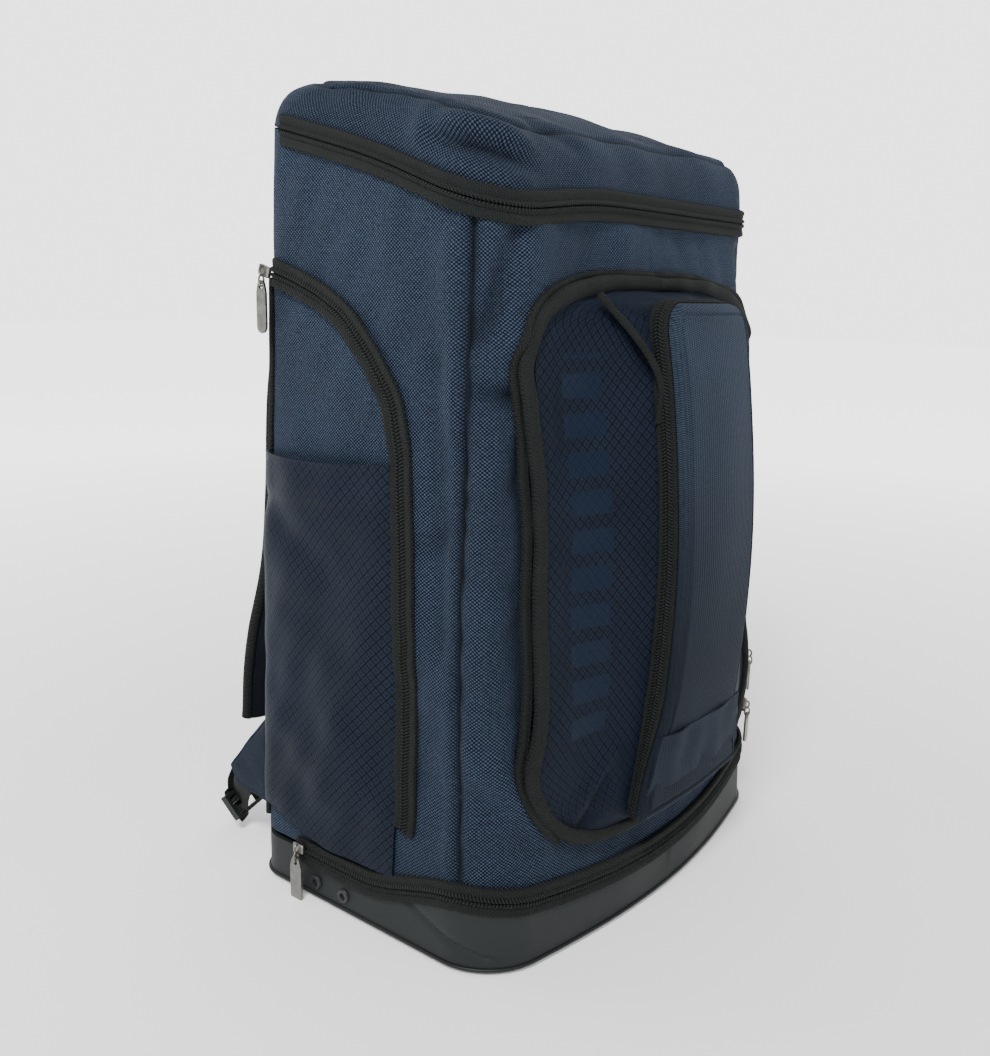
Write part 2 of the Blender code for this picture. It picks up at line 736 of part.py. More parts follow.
def zip_y(z):
    """Inner edge of the side zip's tape at a height below the pocket's mouth."""
    rows = [(point[1], point[0]) for point in reversed(SIDE_ZIP)]
    return blend_table(rows, z) + SIDE_ZIP_HALF + 0.0012


def pocket_out(y, z, front, back):
    """The pocket stands off the wall most at its middle and least along its sewn edges."""
    across = math.sin(math.pi * min(max((y - front) / (back - front), 0.0), 1.0))
    height = (z - POCKET_BOTTOM_Z) / (POCKET_TOP_Z - POCKET_BOTTOM_Z)
    rise = math.sin(math.pi * min(0.08 + 0.62 * height, 1.0))
    return 0.0006 + POCKET_BULGE * max(across, 0.0) ** 0.6 * rise


def build_pocket(side, word):
    """The pocket's sheet, in two halves that meet along the flap's fold line."""
    rows = 9
    columns = 7
    for part, body in (("front", f"flap_{word}"), ("rear", "pack")):
        outer = []
        inner = []
        bottom = POCKET_FRONT_BOTTOM_Z if part == "front" else POCKET_BOTTOM_Z
        for i in range(rows + 1):
            z = bottom + (POCKET_TOP_Z - bottom) * i / rows
            front = zip_y(z)
            fold = fold_y(z)
            low = front
            high = fold - POCKET_FOLD_GAP
            if part == "rear":
                low = max(fold + POCKET_FOLD_GAP, POCKET_REAR_START_Y)
                high = POCKET_BACK_Y
            outer_row = []
            inner_row = []
            for j in range(columns + 1):
                y = low + (high - low) * j / columns
                out = pocket_out(y, z, front, POCKET_BACK_Y + 0.004)
                inner_row.append(side_point(side, y, z, out))
                outer_row.append(side_point(side, y, z, out + POCKET_THICK))
            outer.append(outer_row)
            inner.append(inner_row)
        slab(f"side_pocket_{part}_{word}", body, "navy_ripstop", outer, inner)


# ---------------------------------------------------------------- front panel and organiser
def panel_loop(inset, per_span=2):
    """Closed outline of the front panel in X and Z, clockwise from the top, moved in by inset."""
    right = smooth(PANEL_OUTLINE, per_span)
    left = [Vector((-p[0], p[1])) for p in reversed(right[1:-1])]
    loop = right + left
    moved = []
    for i, point in enumerate(loop):
        tangent = loop[(i + 1) % len(loop)] - loop[i - 1]
        normal = Vector((-tangent.y, tangent.x)).normalized()
        moved.append(point - normal * inset)
    return moved


def on_front(loop, out=0.0):
    points = [front_point(x, z, out) for x, z in loop]
    normals = [front_normal(x, z) for x, z in loop]
    return points, normals


def panel_half_width(z, inset):
    """Half width of the panel at a height, read off its outline."""
    loop = [p for p in panel_loop(inset, 4) if p[0] >= 0.0]
    widths = sorted((p[1], p[0]) for p in loop)
    return blend_table(widths, z)


def build_front():
    loop = panel_loop(BINDING_WIDTH / 2)
    points, normals = on_front(loop)
    ribbon("front_binding", "front", "webbing", points, normals, BINDING_WIDTH, GAP,
           GAP + BINDING_THICK, closed=True)

    track = [p for p in panel_loop(-FRONT_TAPE_OUT) if p[1] > FRONT_TAPE_END_Z]
    track = sorted_track(track)
    points, normals = on_front(track)
    ribbon("front_tape", "pack", "webbing", points, normals, FRONT_TAPE_WIDTH, TAPE_LIFT,
           TAPE_LIFT + TAPE_THICK)

    inset = BINDING_WIDTH + 0.0012
    outline = panel_loop(inset, 4)
    low = min(p[1] for p in outline) + 0.0004
    high = max(p[1] for p in outline) - 0.0004
    rows = 22
    columns = 14
    outer = []
    inner = []
    for i in range(rows + 1):
        share = (1.0 - math.cos(math.pi * i / rows)) / 2
        z = low + (high - low) * share
        half = panel_half_width(z, inset)
        across = [half * (2 * j / columns - 1) for j in range(columns + 1)]
        outer.append([front_point(x, z, PANEL_INNER + PANEL_THICK) for x in across])
        inner.append([front_point(x, z, PANEL_INNER) for x in across])
    slab("front_panel", "front", "navy_ripstop", outer, inner)
    build_organiser()


def sorted_track(points):
    """Order the zip's track from its bottom left end, over the top, to the bottom right end."""
    middle_z = (PANEL_OUTLINE[0][1] + PANEL_OUTLINE[-1][1]) / 2

    def turn(point):
        return math.atan2(point[1] - middle_z, abs(point[0]))

    left = sorted((p for p in points if p[0] < 0), key=turn)
    right = sorted((p for p in points if p[0] >= 0), key=turn)
    return left + right[::-1]


def organiser_half_width(z):
    flare = min(max((ORG_FLARE_Z - z) / (ORG_FLARE_Z - ORG_BOTTOM_Z), 0.0), 1.0)
    return ORG_HALF_WIDTH + (ORG_FOOT_HALF_WIDTH - ORG_HALF_WIDTH) * flare ** 1.5


def organiser_front_y(z):
    """The organiser's face is level across, so its depth is measured at the middle."""
    return front_surface(0.0, z).y - blend_table(ORG_DEPTHS, z)


def organiser_loop(inset):
    """Closed outline of the organiser in X and Z with rounded corners, moved in by inset."""
    corner_steps = 5
    top = ORG_TOP_Z - inset
    bottom = ORG_BOTTOM_Z + inset
    radius = ORG_CORNER - inset
    foot = ORG_FOOT_CORNER - inset
    right = [Vector((x, top)) for x in (0.0, 0.011)]
    centre = Vector((ORG_HALF_WIDTH - inset - radius, top - radius))
    for i in range(corner_steps + 1):
        angle = math.radians(90.0 - 90.0 * i / corner_steps)
        right.append(centre + Vector((math.cos(angle), math.sin(angle))) * radius)
    for z in (0.330, 0.300, 0.262, 0.230, 0.200, 0.170, 0.145, 0.120, 0.100, 0.085):
        right.append(Vector((organiser_half_width(z) - inset, z)))
    centre = Vector((ORG_FOOT_HALF_WIDTH - inset - foot, bottom + foot))
    for i in range(corner_steps + 1):
        angle = math.radians(-90.0 * i / corner_steps)
        right.append(centre + Vector((math.cos(angle), math.sin(angle))) * foot)
    right += [Vector((x, bottom)) for x in (0.021, 0.0)]
    left = [Vector((-p[0], p[1])) for p in reversed(right[1:-1])]
    return right + left


def organiser_layers():
    """Shares of the organiser's depth: fabric wall, rear tape, front tape."""
    return (("organiser_wall", "front", "navy_twill", 0.0, 1.0),
            ("organiser_tape_rear", "front", "webbing", 1.0, 2.0),
            ("organiser_tape_front", "organiser", "webbing", 2.0, 3.0))


def organiser_depth(x, z, level):
    """Y of a layer boundary: 0 on the panel, 1 and 2 between the layers, 3 behind the face."""
    start = front_point(x, z, PANEL_INNER + PANEL_THICK + ORG_STAND).y
    end = organiser_front_y(z) + ORG_WALL + 3 * GAP
    total = start - end
    tape = min(ORG_TAPE, total / 3)
    steps = {0.0: start, 1.0: end + 2 * tape, 2.0: end + tape, 3.0: end}
    return steps[level]


def build_organiser():
    outer_loop = organiser_loop(0.0)
    inner_loop = organiser_loop(ORG_WALL)
    for name, body, slot, low, high in organiser_layers():
        rings = []
        for loop, level, shift in ((outer_loop, low, 0.0), (outer_loop, high, GAP),
                                   (inner_loop, high, GAP), (inner_loop, low, 0.0)):
            rings.append([Vector((x, organiser_depth(x, z, level) + shift, z)) for x, z in loop])
        loft(name, body, slot, rings, loop=True)

    rows = 16
    heights = []
    for i in range(rows + 1):
        share = (1.0 - math.cos(math.pi * i / rows)) / 2
        heights.append(ORG_BOTTOM_Z + (ORG_TOP_Z - ORG_BOTTOM_Z) * share)
    outer = [face_row(z, rounded_half_width(z), 0.0) for z in heights]
    inner = [[Vector((p.x, organiser_front_y(p.z) + ORG_WALL, p.z)) for p in row] for row in outer]
    slab("organiser_face", "organiser", "navy_twill", outer, inner)

    band_low = 0.0008
    outer = []
    inner = []
    for z in BAND_HEIGHTS:
        half = organiser_half_width(z) - 0.0005
        outer.append(face_row(z, half, band_low + BAND_THICK))
        inner.append(face_row(z, half, band_low))
    slab("organiser_band", "organiser", "navy_twill", outer, inner)


def face_row(z, half, out):
    """Points across the organiser's crowned face at a height, moved forward by out."""
    columns = 8
    row = []
    for j in range(columns + 1):
        u = 2 * j / columns - 1
        crown = ORG_CROWN * (1.0 - u * u)
        row.append(Vector((half * u, organiser_front_y(z) - crown - out, z)))
    return row


def rounded_half_width(z):
    """Half width of the organiser's face, with its rounded corners."""
    half = organiser_half_width(z)
    for radius, distance in ((ORG_CORNER, ORG_TOP_Z - z), (ORG_FOOT_CORNER, z - ORG_BOTTOM_Z)):
        if distance < radius:
            half -= radius - math.sqrt(max(radius ** 2 - (radius - distance) ** 2, 0.0))
    return half


# ---------------------------------------------------------------- sliders and pulls
def pull_tab(name, body, hang, across, out, length, width):
    """Flat tab that widens to a rounded bottom; hang is the centre of the hole at its top."""
    down = Vector((0.0, 0.0, -1.0))
    across = Vector(across).normalized()
    out = Vector(out).normalized()
    neck = width * 0.36
    wide = width / 2
    straight = length - PULL_TOP - wide
    right = [(0.0, -PULL_TOP), (neck * 0.7, -PULL_TOP * 0.9), (neck, -PULL_TOP * 0.3),
             (wide, PULL_TOP), (wide, straight), (wide * 0.87, straight + wide * 0.5),
             (wide * 0.5, straight + wide * 0.87), (0.0, straight + wide)]
    outer = right + [(-x, y) for x, y in reversed(right[1:-1])]
    inner = []
    for i in range(len(outer)):
        angle = 2 * math.pi * i / len(outer)
        inner.append((PULL_HOLE * math.sin(angle), -PULL_HOLE * math.cos(angle)))
    sections = []
    for loop, depth in ((outer, 0.0), (outer, PULL_THICK), (inner, PULL_THICK), (inner, 0.0)):
        sections.append([Vector(hang) + across * x + down * y + out * depth for x, y in loop])
    return loft(name, body, "pull_metal", sections, loop=True)


def zip_slider(word, parent, place, along, out):
    """A slider whose underside is at place, on a body of its own."""
    place = Vector(place)
    out = Vector(out).normalized()
    joint_empty(word + "_slider", place, parent)
    centre = place + out * (SLIDER_SIZE[2] / 2)
    block(word + "_slider", word + "_slider", "pull_metal", centre, SLIDER_SIZE, 0.0008,
          along=along, out=out)


def zip_pull(word, place, out, across, length, width):
    """The tab that hangs from a slider, on a body of its own."""
    out = Vector(out).normalized()
    drop = Vector((0.0, 0.0, SLIDER_SIZE[1] / 2 + PULL_TOP + 2 * GAP))
    hinge = Vector(place) + out * (SLIDER_SIZE[2] + GAP + PULL_THICK / 2) - drop
    joint_empty(word + "_pull", hinge, word + "_slider")
    hang = hinge - out * (PULL_THICK / 2)
    pull_tab(word + "_pull", word + "_pull", hang, across, out, length, width)


def build_zips():
    clear = TAPE_LIFT + TAPE_THICK + GAP
    place = (-half_width(BASE_ZIP_SIDE_Z) - clear, BASE_ZIP_PARK_Y, BASE_ZIP_SIDE_Z + 0.004)
    zip_slider("base_zip", "base", place, (0, 1, 0), (-1, 0, 0))
    zip_pull("base_zip", place, (-1, 0, 0), (0, 1, 0), *BASE_PULL)

    for side, word in ((-1, "left"), (1, "right")):
        y, z = SIDE_ZIP_PARK
        place = (side * (half_width(z) + clear), y, z)
        zip_slider(f"side_zip_{word}", "pack", place, SIDE_TRACK, (side, 0, 0))
        zip_pull(f"side_zip_{word}", place, (side, 0, 0), (0, 1, 0), *SIDE_PULL)

    for y, word in LID_ZIP_PARK:
        z = lid_zip_z(0.0, y)
        place = (half_width(z) + clear + 0.0004, y, z)
        zip_slider(f"lid_zip_{word}", "pack", place, (0, 1, LID_SLOPE), (1, 0, 0))
        zip_pull(f"lid_zip_{word}", place, (1, 0, 0), (0, 1, 0), *LID_PULL)

    track = [p for p in panel_loop(-FRONT_SLIDER_OUT, 8) if p[0] > 0]
    for z, word in FRONT_ZIP_PARK:
        nearest = min(range(1, len(track) - 1), key=lambda i: abs(track[i][1] - z))
        x, z = track[nearest]
        (x0, z0), (x1, z1) = track[nearest + 1], track[nearest - 1]
        along = front_surface(x1, z1) - front_surface(x0, z0)
        normal = front_normal(x, z)
        level_out = Vector((normal.x, normal.y, 0.0)).normalized()
        across = Vector((-level_out.y, level_out.x, 0.0))
        place = front_surface(x, z) + normal * (clear + 0.0010)
        zip_slider(f"front_zip_{word}", "pack", place, along, level_out)
        zip_pull(f"front_zip_{word}", place, level_out, across, *FRONT_PULL)

    middle = organiser_depth(ORG_HALF_WIDTH, ORG_ZIP_PARK_Z, 2.0)
    place = (ORG_HALF_WIDTH + GAP, middle + SLIDER_SIZE[1] / 2, ORG_ZIP_PARK_Z)
    zip_slider("organiser_zip", "front", place, (0, 0, 1), (1, 0, 0))


# ---------------------------------------------------------------- carrying gear
def build_straps():
    for side, word in ((-1, "left"), (1, "right")):
        body = f"strap_{word}"
        path = smooth([(side * x, y, z) for x, y, z in STRAP_PATH], 2)
        strap(f"shoulder_strap_{word}", body, "spacer_mesh", path, STRAP_WIDTH, STRAP_THICK,
              (1, 0, 0), 0.003)

        web = smooth([(side * x, y, z) for x, y, z in STRAP_WEB], 3)
        strap(f"strap_web_{word}", body, "webbing", web, WEBBING_WIDTH, WEBBING_THICK,
              (1, -0.35 * side, 0))
        ladder_lock(f"ladder_lock_{word}", body, side)

        tab = [[Vector((side * x, y, z)) for y, z in ANCHOR_TAB] for x in ANCHOR_TAB_X]
        loft(f"anchor_tab_{word}", "pack", "navy_twill", tab)

        low = smooth([(side * x, y, z) for x, y, z in LOWER_WEB], 3)
        strap(f"lower_web_{word}", "pack", "webbing", low, LOWER_WEB_WIDTH, WEBBING_THICK,
              (0.0, 0.72, 0.69))


def ladder_lock(name, body, side):
    """Three-bar plastic buckle: a plate with two slots."""
    shape = bmesh.new()
    grid = {}
    for k, y in enumerate((-LOCK_THICK / 2, LOCK_THICK / 2)):
        for i, x in enumerate(LOCK_ACROSS):
            for j, z in enumerate(LOCK_UP):
                grid[i, j, k] = shape.verts.new(Vector((x, y, z)))
    cells = {(i, j) for i in range(len(LOCK_ACROSS) - 1) for j in range(len(LOCK_UP) - 1)}
    filled = cells - LOCK_SLOTS
    sides = (((0, 0), (1, 0), (0, -1)), ((1, 0), (1, 1), (1, 0)),
             ((1, 1), (0, 1), (0, 1)), ((0, 1), (0, 0), (-1, 0)))
    for i, j in sorted(filled):
        for k in (0, 1):
            face = [grid[i + a, j + b, k] for a, b in ((0, 0), (1, 0), (1, 1), (0, 1))]
            shape.faces.new(face)
        for (a, b), (c, d), step in sides:
            if (i + step[0], j + step[1]) not in filled:
                shape.faces.new([grid[i + a, j + b, 0], grid[i + c, j + d, 0],
                                 grid[i + c, j + d, 1], grid[i + a, j + b, 1]])
    centre = Vector((side * LOCK_CENTRE[0], LOCK_CENTRE[1], LOCK_CENTRE[2]))
    turn = Matrix.Rotation(math.radians(-38.0), 3, "X")
    twist = Matrix.Rotation(math.radians(-20.0 * side), 3, "Z")
    for vert in shape.verts:
        vert.co = centre + twist @ (turn @ vert.co)
    finish_solid(name, body, "moulded_black", shape)


def build_handle():
    path = smooth([(-x, y, z) for x, y, z in HANDLE_HALF] + list(HANDLE_HALF[::-1]), 2)
    outward = Vector((0.0, 1.0, 0.35)).normalized()
    w = HANDLE_WIDTH / 2
    t = HANDLE_THICK / 2
    sections = []
    for i, point in enumerate(path):
        tangent = (path[min(i + 1, len(path) - 1)] - path[max(i - 1, 0)]).normalized()
        side = tangent.cross(outward).normalized()
        out = side.cross(tangent).normalized()
        corners = ((-w, -t), (w, -t), (w, t), (-w, t))
        sections.append([point + side * a + out * b for a, b in corners])
    loft("haul_handle", "handle", "webbing", sections)


# ---------------------------------------------------------------- assembly
def build_joints():
    joint_empty("base", (0.0, 0.0, 0.0))
    joint_empty("pack", (0.0, BACK_Y, BASE_ZIP_SIDE_Z), "base")
    joint_empty("lid", (0.0, BACK_Y + 0.0005, lid_zip_z(0.0, BACK_Y)), "pack")
    for side, word in ((-1, "left"), (1, "right")):
        y, z = SIDE_ZIP[-1]
        x = side * half_width(z)
        joint_empty(f"flap_{word}", (x, y, z), "pack")
        joint_empty(f"strap_{word}", (side * STRAP_PATH[0][0], STRAP_ROOT[0], STRAP_ROOT[1]), "pack")
    foot_z = PANEL_OUTLINE[-1][1]
    joint_empty("front", (0.0, front_surface(0.0, foot_z).y - GAP, foot_z), "pack")
    joint_empty("organiser", (0.0, organiser_front_y(ORG_BOTTOM_Z), ORG_BOTTOM_Z), "front")
    joint_empty("handle", (0.0, HANDLE_HALF[0][1] - GAP, HANDLE_HALF[0][2]), "pack")


def main():
    clear_scene()
    build_joints()
    build_base()
    build_shell()
    build_lid()
    for side, word in ((-1, "left"), (1, "right")):
        build_side(side, word)
    build_front()
    build_zips()
    build_straps()
    build_handle()


main()
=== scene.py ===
"""Visual model of a sports backpack with a zipped lid, shoe base, side flaps and front organiser.

Units are metres in the CAD frame: +Z up, the front panel faces -Y, +X is right seen from the front.
"""
import math

import bpy
import numpy as np
from mathutils import Matrix, Vector


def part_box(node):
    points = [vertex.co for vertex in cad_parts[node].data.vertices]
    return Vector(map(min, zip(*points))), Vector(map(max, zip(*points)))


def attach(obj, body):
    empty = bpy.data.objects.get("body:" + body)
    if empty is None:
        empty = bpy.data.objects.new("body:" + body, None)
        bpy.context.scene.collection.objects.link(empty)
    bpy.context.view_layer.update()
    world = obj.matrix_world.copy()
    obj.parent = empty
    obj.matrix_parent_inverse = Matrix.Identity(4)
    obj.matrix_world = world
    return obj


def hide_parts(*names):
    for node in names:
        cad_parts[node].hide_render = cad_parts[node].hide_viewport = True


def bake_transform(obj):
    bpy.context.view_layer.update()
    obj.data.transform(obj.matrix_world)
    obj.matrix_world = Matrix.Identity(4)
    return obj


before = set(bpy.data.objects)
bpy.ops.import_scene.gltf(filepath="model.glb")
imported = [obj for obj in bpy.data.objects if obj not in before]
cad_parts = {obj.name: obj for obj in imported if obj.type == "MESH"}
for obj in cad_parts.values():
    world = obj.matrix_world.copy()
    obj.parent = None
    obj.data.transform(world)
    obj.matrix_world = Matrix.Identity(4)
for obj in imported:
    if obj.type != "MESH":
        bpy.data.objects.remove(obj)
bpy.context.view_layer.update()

# ---------------------------------------------------------------- the bag's form, as in the CAD
GAP = 0.0003
WALL = 0.003
BASE_HALF_WIDTH = 0.160
SIDE_LEAN = 0.0366
BACK_Y = 0.0957
BASE_FRONT_Y = -0.0957
FRONT_LEAN = 0.0468
FRONT_BULGE = 0.0218
BULGE_TOP_Z = 0.415
FRONT_RADIUS = 0.0323
BACK_RADIUS = 0.020
LID_FRONT_Z = 0.4162
LID_SLOPE = 0.249
LID_FRONT_Y = -0.0765
BASE_ZIP_SIDE_Z = 0.029
BASE_ZIP_CORNER_Z = 0.0455
BASE_ZIP_SAG = 0.0140
BASE_ZIP_SAG_REACH = 0.155
BASE_ZIP_END_Y = 0.055
LID_ZIP_END_Y = 0.076
SPLIT = 0.0005
SHELF_Z = 0.100
SIDE_ZIP = ((0.0835, 0.3775), (0.052, 0.3675), (0.0235, 0.3535), (0.002, 0.333),
            (-0.013, 0.311), (-0.020, 0.287), (-0.0245, 0.2445), (-0.0275, 0.2045),
            (-0.032, 0.070))
PANEL_OUTLINE = ((0.0, 0.379), (0.048, 0.379), (0.080, 0.375), (0.103, 0.368), (0.1195, 0.3555),
                 (0.1275, 0.335), (0.1265, 0.312), (0.1235, 0.280), (0.1215, 0.245), (0.124, 0.207),
                 (0.124, 0.165), (0.127, 0.137), (0.132, 0.116), (0.1285, 0.0955), (0.117, 0.079),
                 (0.098, 0.065), (0.068, 0.0575), (0.0, 0.0565))
FRONT_TAPE_OUT = 0.0034
FRONT_TAPE_END_Z = 0.070
PANEL_INNER = 0.0065
PANEL_THICK = 0.002
ORG_TOP_Z = 0.365
ORG_BOTTOM_Z = 0.068
ORG_HALF_WIDTH = 0.045
ORG_FOOT_HALF_WIDTH = 0.064
ORG_FLARE_Z = 0.145
ORG_CORNER = 0.018
ORG_FOOT_CORNER = 0.010
ORG_DEPTHS = ((0.068, 0.0175), (0.100, 0.0210), (0.145, 0.031), (0.207, 0.040),
              (0.262, 0.043), (0.320, 0.042), (0.365, 0.038))
ORG_STAND = 0.0015
ORG_WALL = 0.0022
ORG_TAPE = 0.006
# height, inset and rear corner radius up the lid's side and over its shoulder
LID_PROFILE = ((0.0005, 0.0, 0.020), (0.0130, 0.0, 0.024), (0.0235, 0.0008, 0.036),
               (0.0305, 0.0040, 0.050), (0.0350, 0.0100, 0.062), (0.0372, 0.0190, 0.072))
LID_CROWN = 0.0062          # the lid's middle is higher than its shoulder by this much
LID_REAR_DROP = 0.16
LID_DROP_START_Y = -0.020
STRAP_WIDTH = 0.062
STRAP_THICK = 0.010
STRAP_PATH = ((0.068, 0.1045, 0.434), (0.069, 0.1135, 0.418), (0.073, 0.1185, 0.390),
              (0.080, 0.1215, 0.350), (0.086, 0.1245, 0.300), (0.089, 0.1250, 0.240),
              (0.091, 0.1290, 0.190), (0.096, 0.1370, 0.146), (0.101, 0.1435, 0.108),
              (0.104, 0.1455, 0.078))
STRAP_WEB = ((0.1060, 0.1465, 0.0705), (0.1130, 0.1515, 0.0590),
             (0.1210, 0.1560, 0.0460), (0.1255, 0.1580, 0.0340))
ANCHOR_TAB = ((0.0925, 0.1040), (0.1120, 0.0830), (0.1330, 0.0575), (0.1265, 0.0450),
              (0.1080, 0.0440), (0.0925, 0.0420))
STRAP_WEB_END = ((0.1270, 0.1545, 0.0245), (0.1290, 0.1500, 0.0225), (0.1300, 0.1440, 0.0300))
LOWER_WEB = ((0.1474, 0.1160, 0.0560), (0.1468, 0.1240, 0.0480), (0.1435, 0.1300, 0.0420))
LOWER_WEB_END = ((0.1375, 0.1400, 0.0300), (0.1315, 0.1475, 0.0195), (0.1270, 0.1540, 0.0130),
                 (0.1290, 0.1590, 0.0060))
HANDLE_HALF = ((0.0295, 0.0985, 0.4455), (0.0280, 0.1010, 0.4360), (0.0220, 0.1120, 0.4240),
               (0.0090, 0.1160, 0.4175))
BACK_PAD = ((0.072, 0.112, 0.0060), (0.080, 0.122, 0.0105), (0.150, 0.126, 0.0115),
            (0.250, 0.122, 0.0115), (0.350, 0.114, 0.0115), (0.402, 0.104, 0.0105),
            (0.412, 0.094, 0.0060))
SIDES = ((-1, "left"), (1, "right"))
SIDE_X = 0.15               # about the half width, where a height on the side needs an x
BASE_RIM_GUESS = 0.04       # heights from which the rims of the base and the lid are found
LID_RIM_GUESS = 0.43
ORG_MIDDLE_Z = 0.216
FOOT_BAND_Z = (0.0855, 0.1200)
POCKET_Z = (0.040, 0.276)
HEM_DEPTH = 0.0268
UNDER_PANEL = 0.0024        # the shell's relief stays below this behind the front panel
BINDING_HALF = 0.0044
PAD_LOW_Z, PAD_HIGH_Z = 0.074, 0.410
NORMAL_STEP = 0.0003
WAVE_COUNT = 9


def step01(value):
    value = np.clip(value, 0.0, 1.0)
    return value * value * (3.0 - 2.0 * value)


def bell(offset, width):
    return np.exp(-(offset / width) ** 2)


def half_width(z):
    return BASE_HALF_WIDTH - SIDE_LEAN * z


def front_y(z):
    return BASE_FRONT_Y + FRONT_LEAN * z


def bulge(x, y, z):
    """How far the front's swelling pushes a point towards -Y."""
    middle = (front_y(z) + BACK_Y) / 2
    share = np.maximum((middle - y) / (middle - front_y(z)), 0.0)
    across = np.cos(math.pi / 2 * np.minimum(np.abs(x) / half_width(z), 1.0))
    return FRONT_BULGE * np.maximum(0.0, 1.0 - z / BULGE_TOP_Z) * across * share


def lid_zip_z(y):
    return LID_FRONT_Z + LID_SLOPE * (y - LID_FRONT_Y)


def lid_sag(x, y):
    """The lid's zip hangs a little at the front left corner."""
    return 0.0075 * np.exp(-((x + 0.128) ** 2 + (y + 0.062) ** 2) / 0.048 ** 2)


def base_zip_z(x, y):
    rise = step01(-y / 0.075)
    sag = BASE_ZIP_SAG * np.maximum(0.0, 1.0 - (np.abs(x) / BASE_ZIP_SAG_REACH) ** 2) * rise
    return BASE_ZIP_SIDE_Z + (BASE_ZIP_CORNER_Z - BASE_ZIP_SIDE_Z) * rise - sag


def stack(*parts):
    return np.stack(np.broadcast_arrays(*parts), axis=-1)


def unit(vectors):
    return vectors / np.maximum(np.linalg.norm(vectors, axis=-1, keepdims=True), 1e-12)


def front_surface(x, z):
    over = np.maximum(np.abs(x) - (half_width(z) - FRONT_RADIUS), 0.0)
    y = front_y(z) + FRONT_RADIUS - np.sqrt(np.maximum(FRONT_RADIUS ** 2 - over ** 2, 1e-9))
    return stack(x, y - bulge(x, y, z), z)


def front_normal(x, z):
    step = NORMAL_STEP
    across = front_surface(x + step, z) - front_surface(x - step, z)
    up = front_surface(x, z + step) - front_surface(x, z - step)
    return unit(np.cross(across, up))


def side_surface(side, y, z):
    wide = half_width(z)
    back = np.maximum(y - (BACK_Y - BACK_RADIUS), 0.0)
    front = np.maximum(front_y(z) + FRONT_RADIUS - y, 0.0)
    x = wide - BACK_RADIUS + np.sqrt(np.maximum(BACK_RADIUS ** 2 - back ** 2, 1e-9))
    x_front = wide - FRONT_RADIUS + np.sqrt(np.maximum(FRONT_RADIUS ** 2 - front ** 2, 1e-9))
    return stack(side * np.minimum(x, x_front), y, z)


def side_normal(side, y, z):
    step = NORMAL_STEP
    along = side_surface(side, y + step, z) - side_surface(side, y - step, z)
    up = side_surface(side, y, z + step) - side_surface(side, y, z - step)
    return unit(np.cross(along, up)) * side


def smooth(points, per_span, closed=False):
    """Catmull-Rom curve through given points of any dimension."""
    points = np.asarray(points, float)
    count = len(points)
    spans = count if closed else count - 1
    curve = []
    for s in range(spans):
        keys = [s - 1, s, s + 1, s + 2]
        keys = [k % count for k in keys] if closed else [min(max(k, 0), count - 1) for k in keys]
        a, b, c, d = points[keys]
        for t in np.arange(per_span) / per_span:
            curve.append((b * 2 + (c - a) * t + (a * 2 - b * 5 + c * 4 - d) * t ** 2
                          + (b * 3 - a - c * 3 + d) * t ** 3) * 0.5)
    if not closed:
        curve.append(points[-1])
    return np.array(curve)


def along(curve, spacing=None, count=None):
    """Points at even steps along a curve."""
    length = np.concatenate([[0.0], np.cumsum(np.linalg.norm(np.diff(curve, axis=0), axis=1))])
    count = count or max(int(length[-1] / spacing), 2) + 1
    at = np.linspace(0.0, length[-1], count)
    return np.stack([np.interp(at, length, curve[:, k]) for k in range(curve.shape[1])], axis=1)


def waves(u, v, size, seed):
    """Smooth noise of about -1 to 1 with features about `size` wide."""
    random = np.random.default_rng(seed)
    total = 0.0
    for _ in range(WAVE_COUNT):
        angle, phase = random.uniform(0, 2 * math.pi, 2)
        k = 2 * math.pi / size * random.uniform(0.5, 1.4)
        total = total + np.sin(k * (u * math.cos(angle) + v * math.sin(angle)) + phase)
    return total * 0.8 / math.sqrt(WAVE_COUNT)


# ---------------------------------------------------------------- the cloth's relief
# distance from the corner seam and height of both ends, height of the fold, half width
FOLDS = ((0.024, 0.404, 0.006, 0.345, -0.0034, 0.0075), (0.004, 0.336, 0.042, 0.352, 0.0028, 0.0080),
         (0.008, 0.318, 0.036, 0.316, -0.0030, 0.0060), (0.008, 0.130, 0.050, 0.078, 0.0017, 0.0085),
         (0.010, 0.106, 0.040, 0.068, -0.0015, 0.0065), (0.034, 0.290, 0.036, 0.110, -0.0026, 0.0110),
         (0.013, 0.300, 0.014, 0.150, 0.0016, 0.0075), (-0.012, 0.390, -0.006, 0.300, 0.0016, 0.0080),
         (-0.020, 0.330, -0.012, 0.180, -0.0016, 0.0090), (-0.006, 0.250, -0.026, 0.235, -0.0008, 0.0060),
         (0.006, 0.262, 0.028, 0.272, -0.0011, 0.0055), (0.006, 0.225, 0.026, 0.217, -0.0010, 0.0055),
         (0.006, 0.190, 0.030, 0.196, -0.0010, 0.0055), (0.006, 0.158, 0.024, 0.150, -0.0011, 0.0055))
FOLD_GAIN = 2.0             # on the left; the right side is calmer
FOLD_GAIN_RIGHT = 0.9


def segment_distance(u, v, u0, v0, u1, v1):
    du, dv = u1 - u0, v1 - v0
    t = np.clip(((u - u0) * du + (v - v0) * dv) / (du * du + dv * dv), 0.0, 1.0)
    return np.hypot(u - u0 - du * t, v - v0 - dv * t)


def folds(u, v, rows):
    """Ridges and creases along straight lines; a row is both ends, the height and the half width."""
    return sum(amount * bell(segment_distance(u, v, u0, v0, u1, v1), width)
               for u0, v0, u1, v1, amount, width in rows)


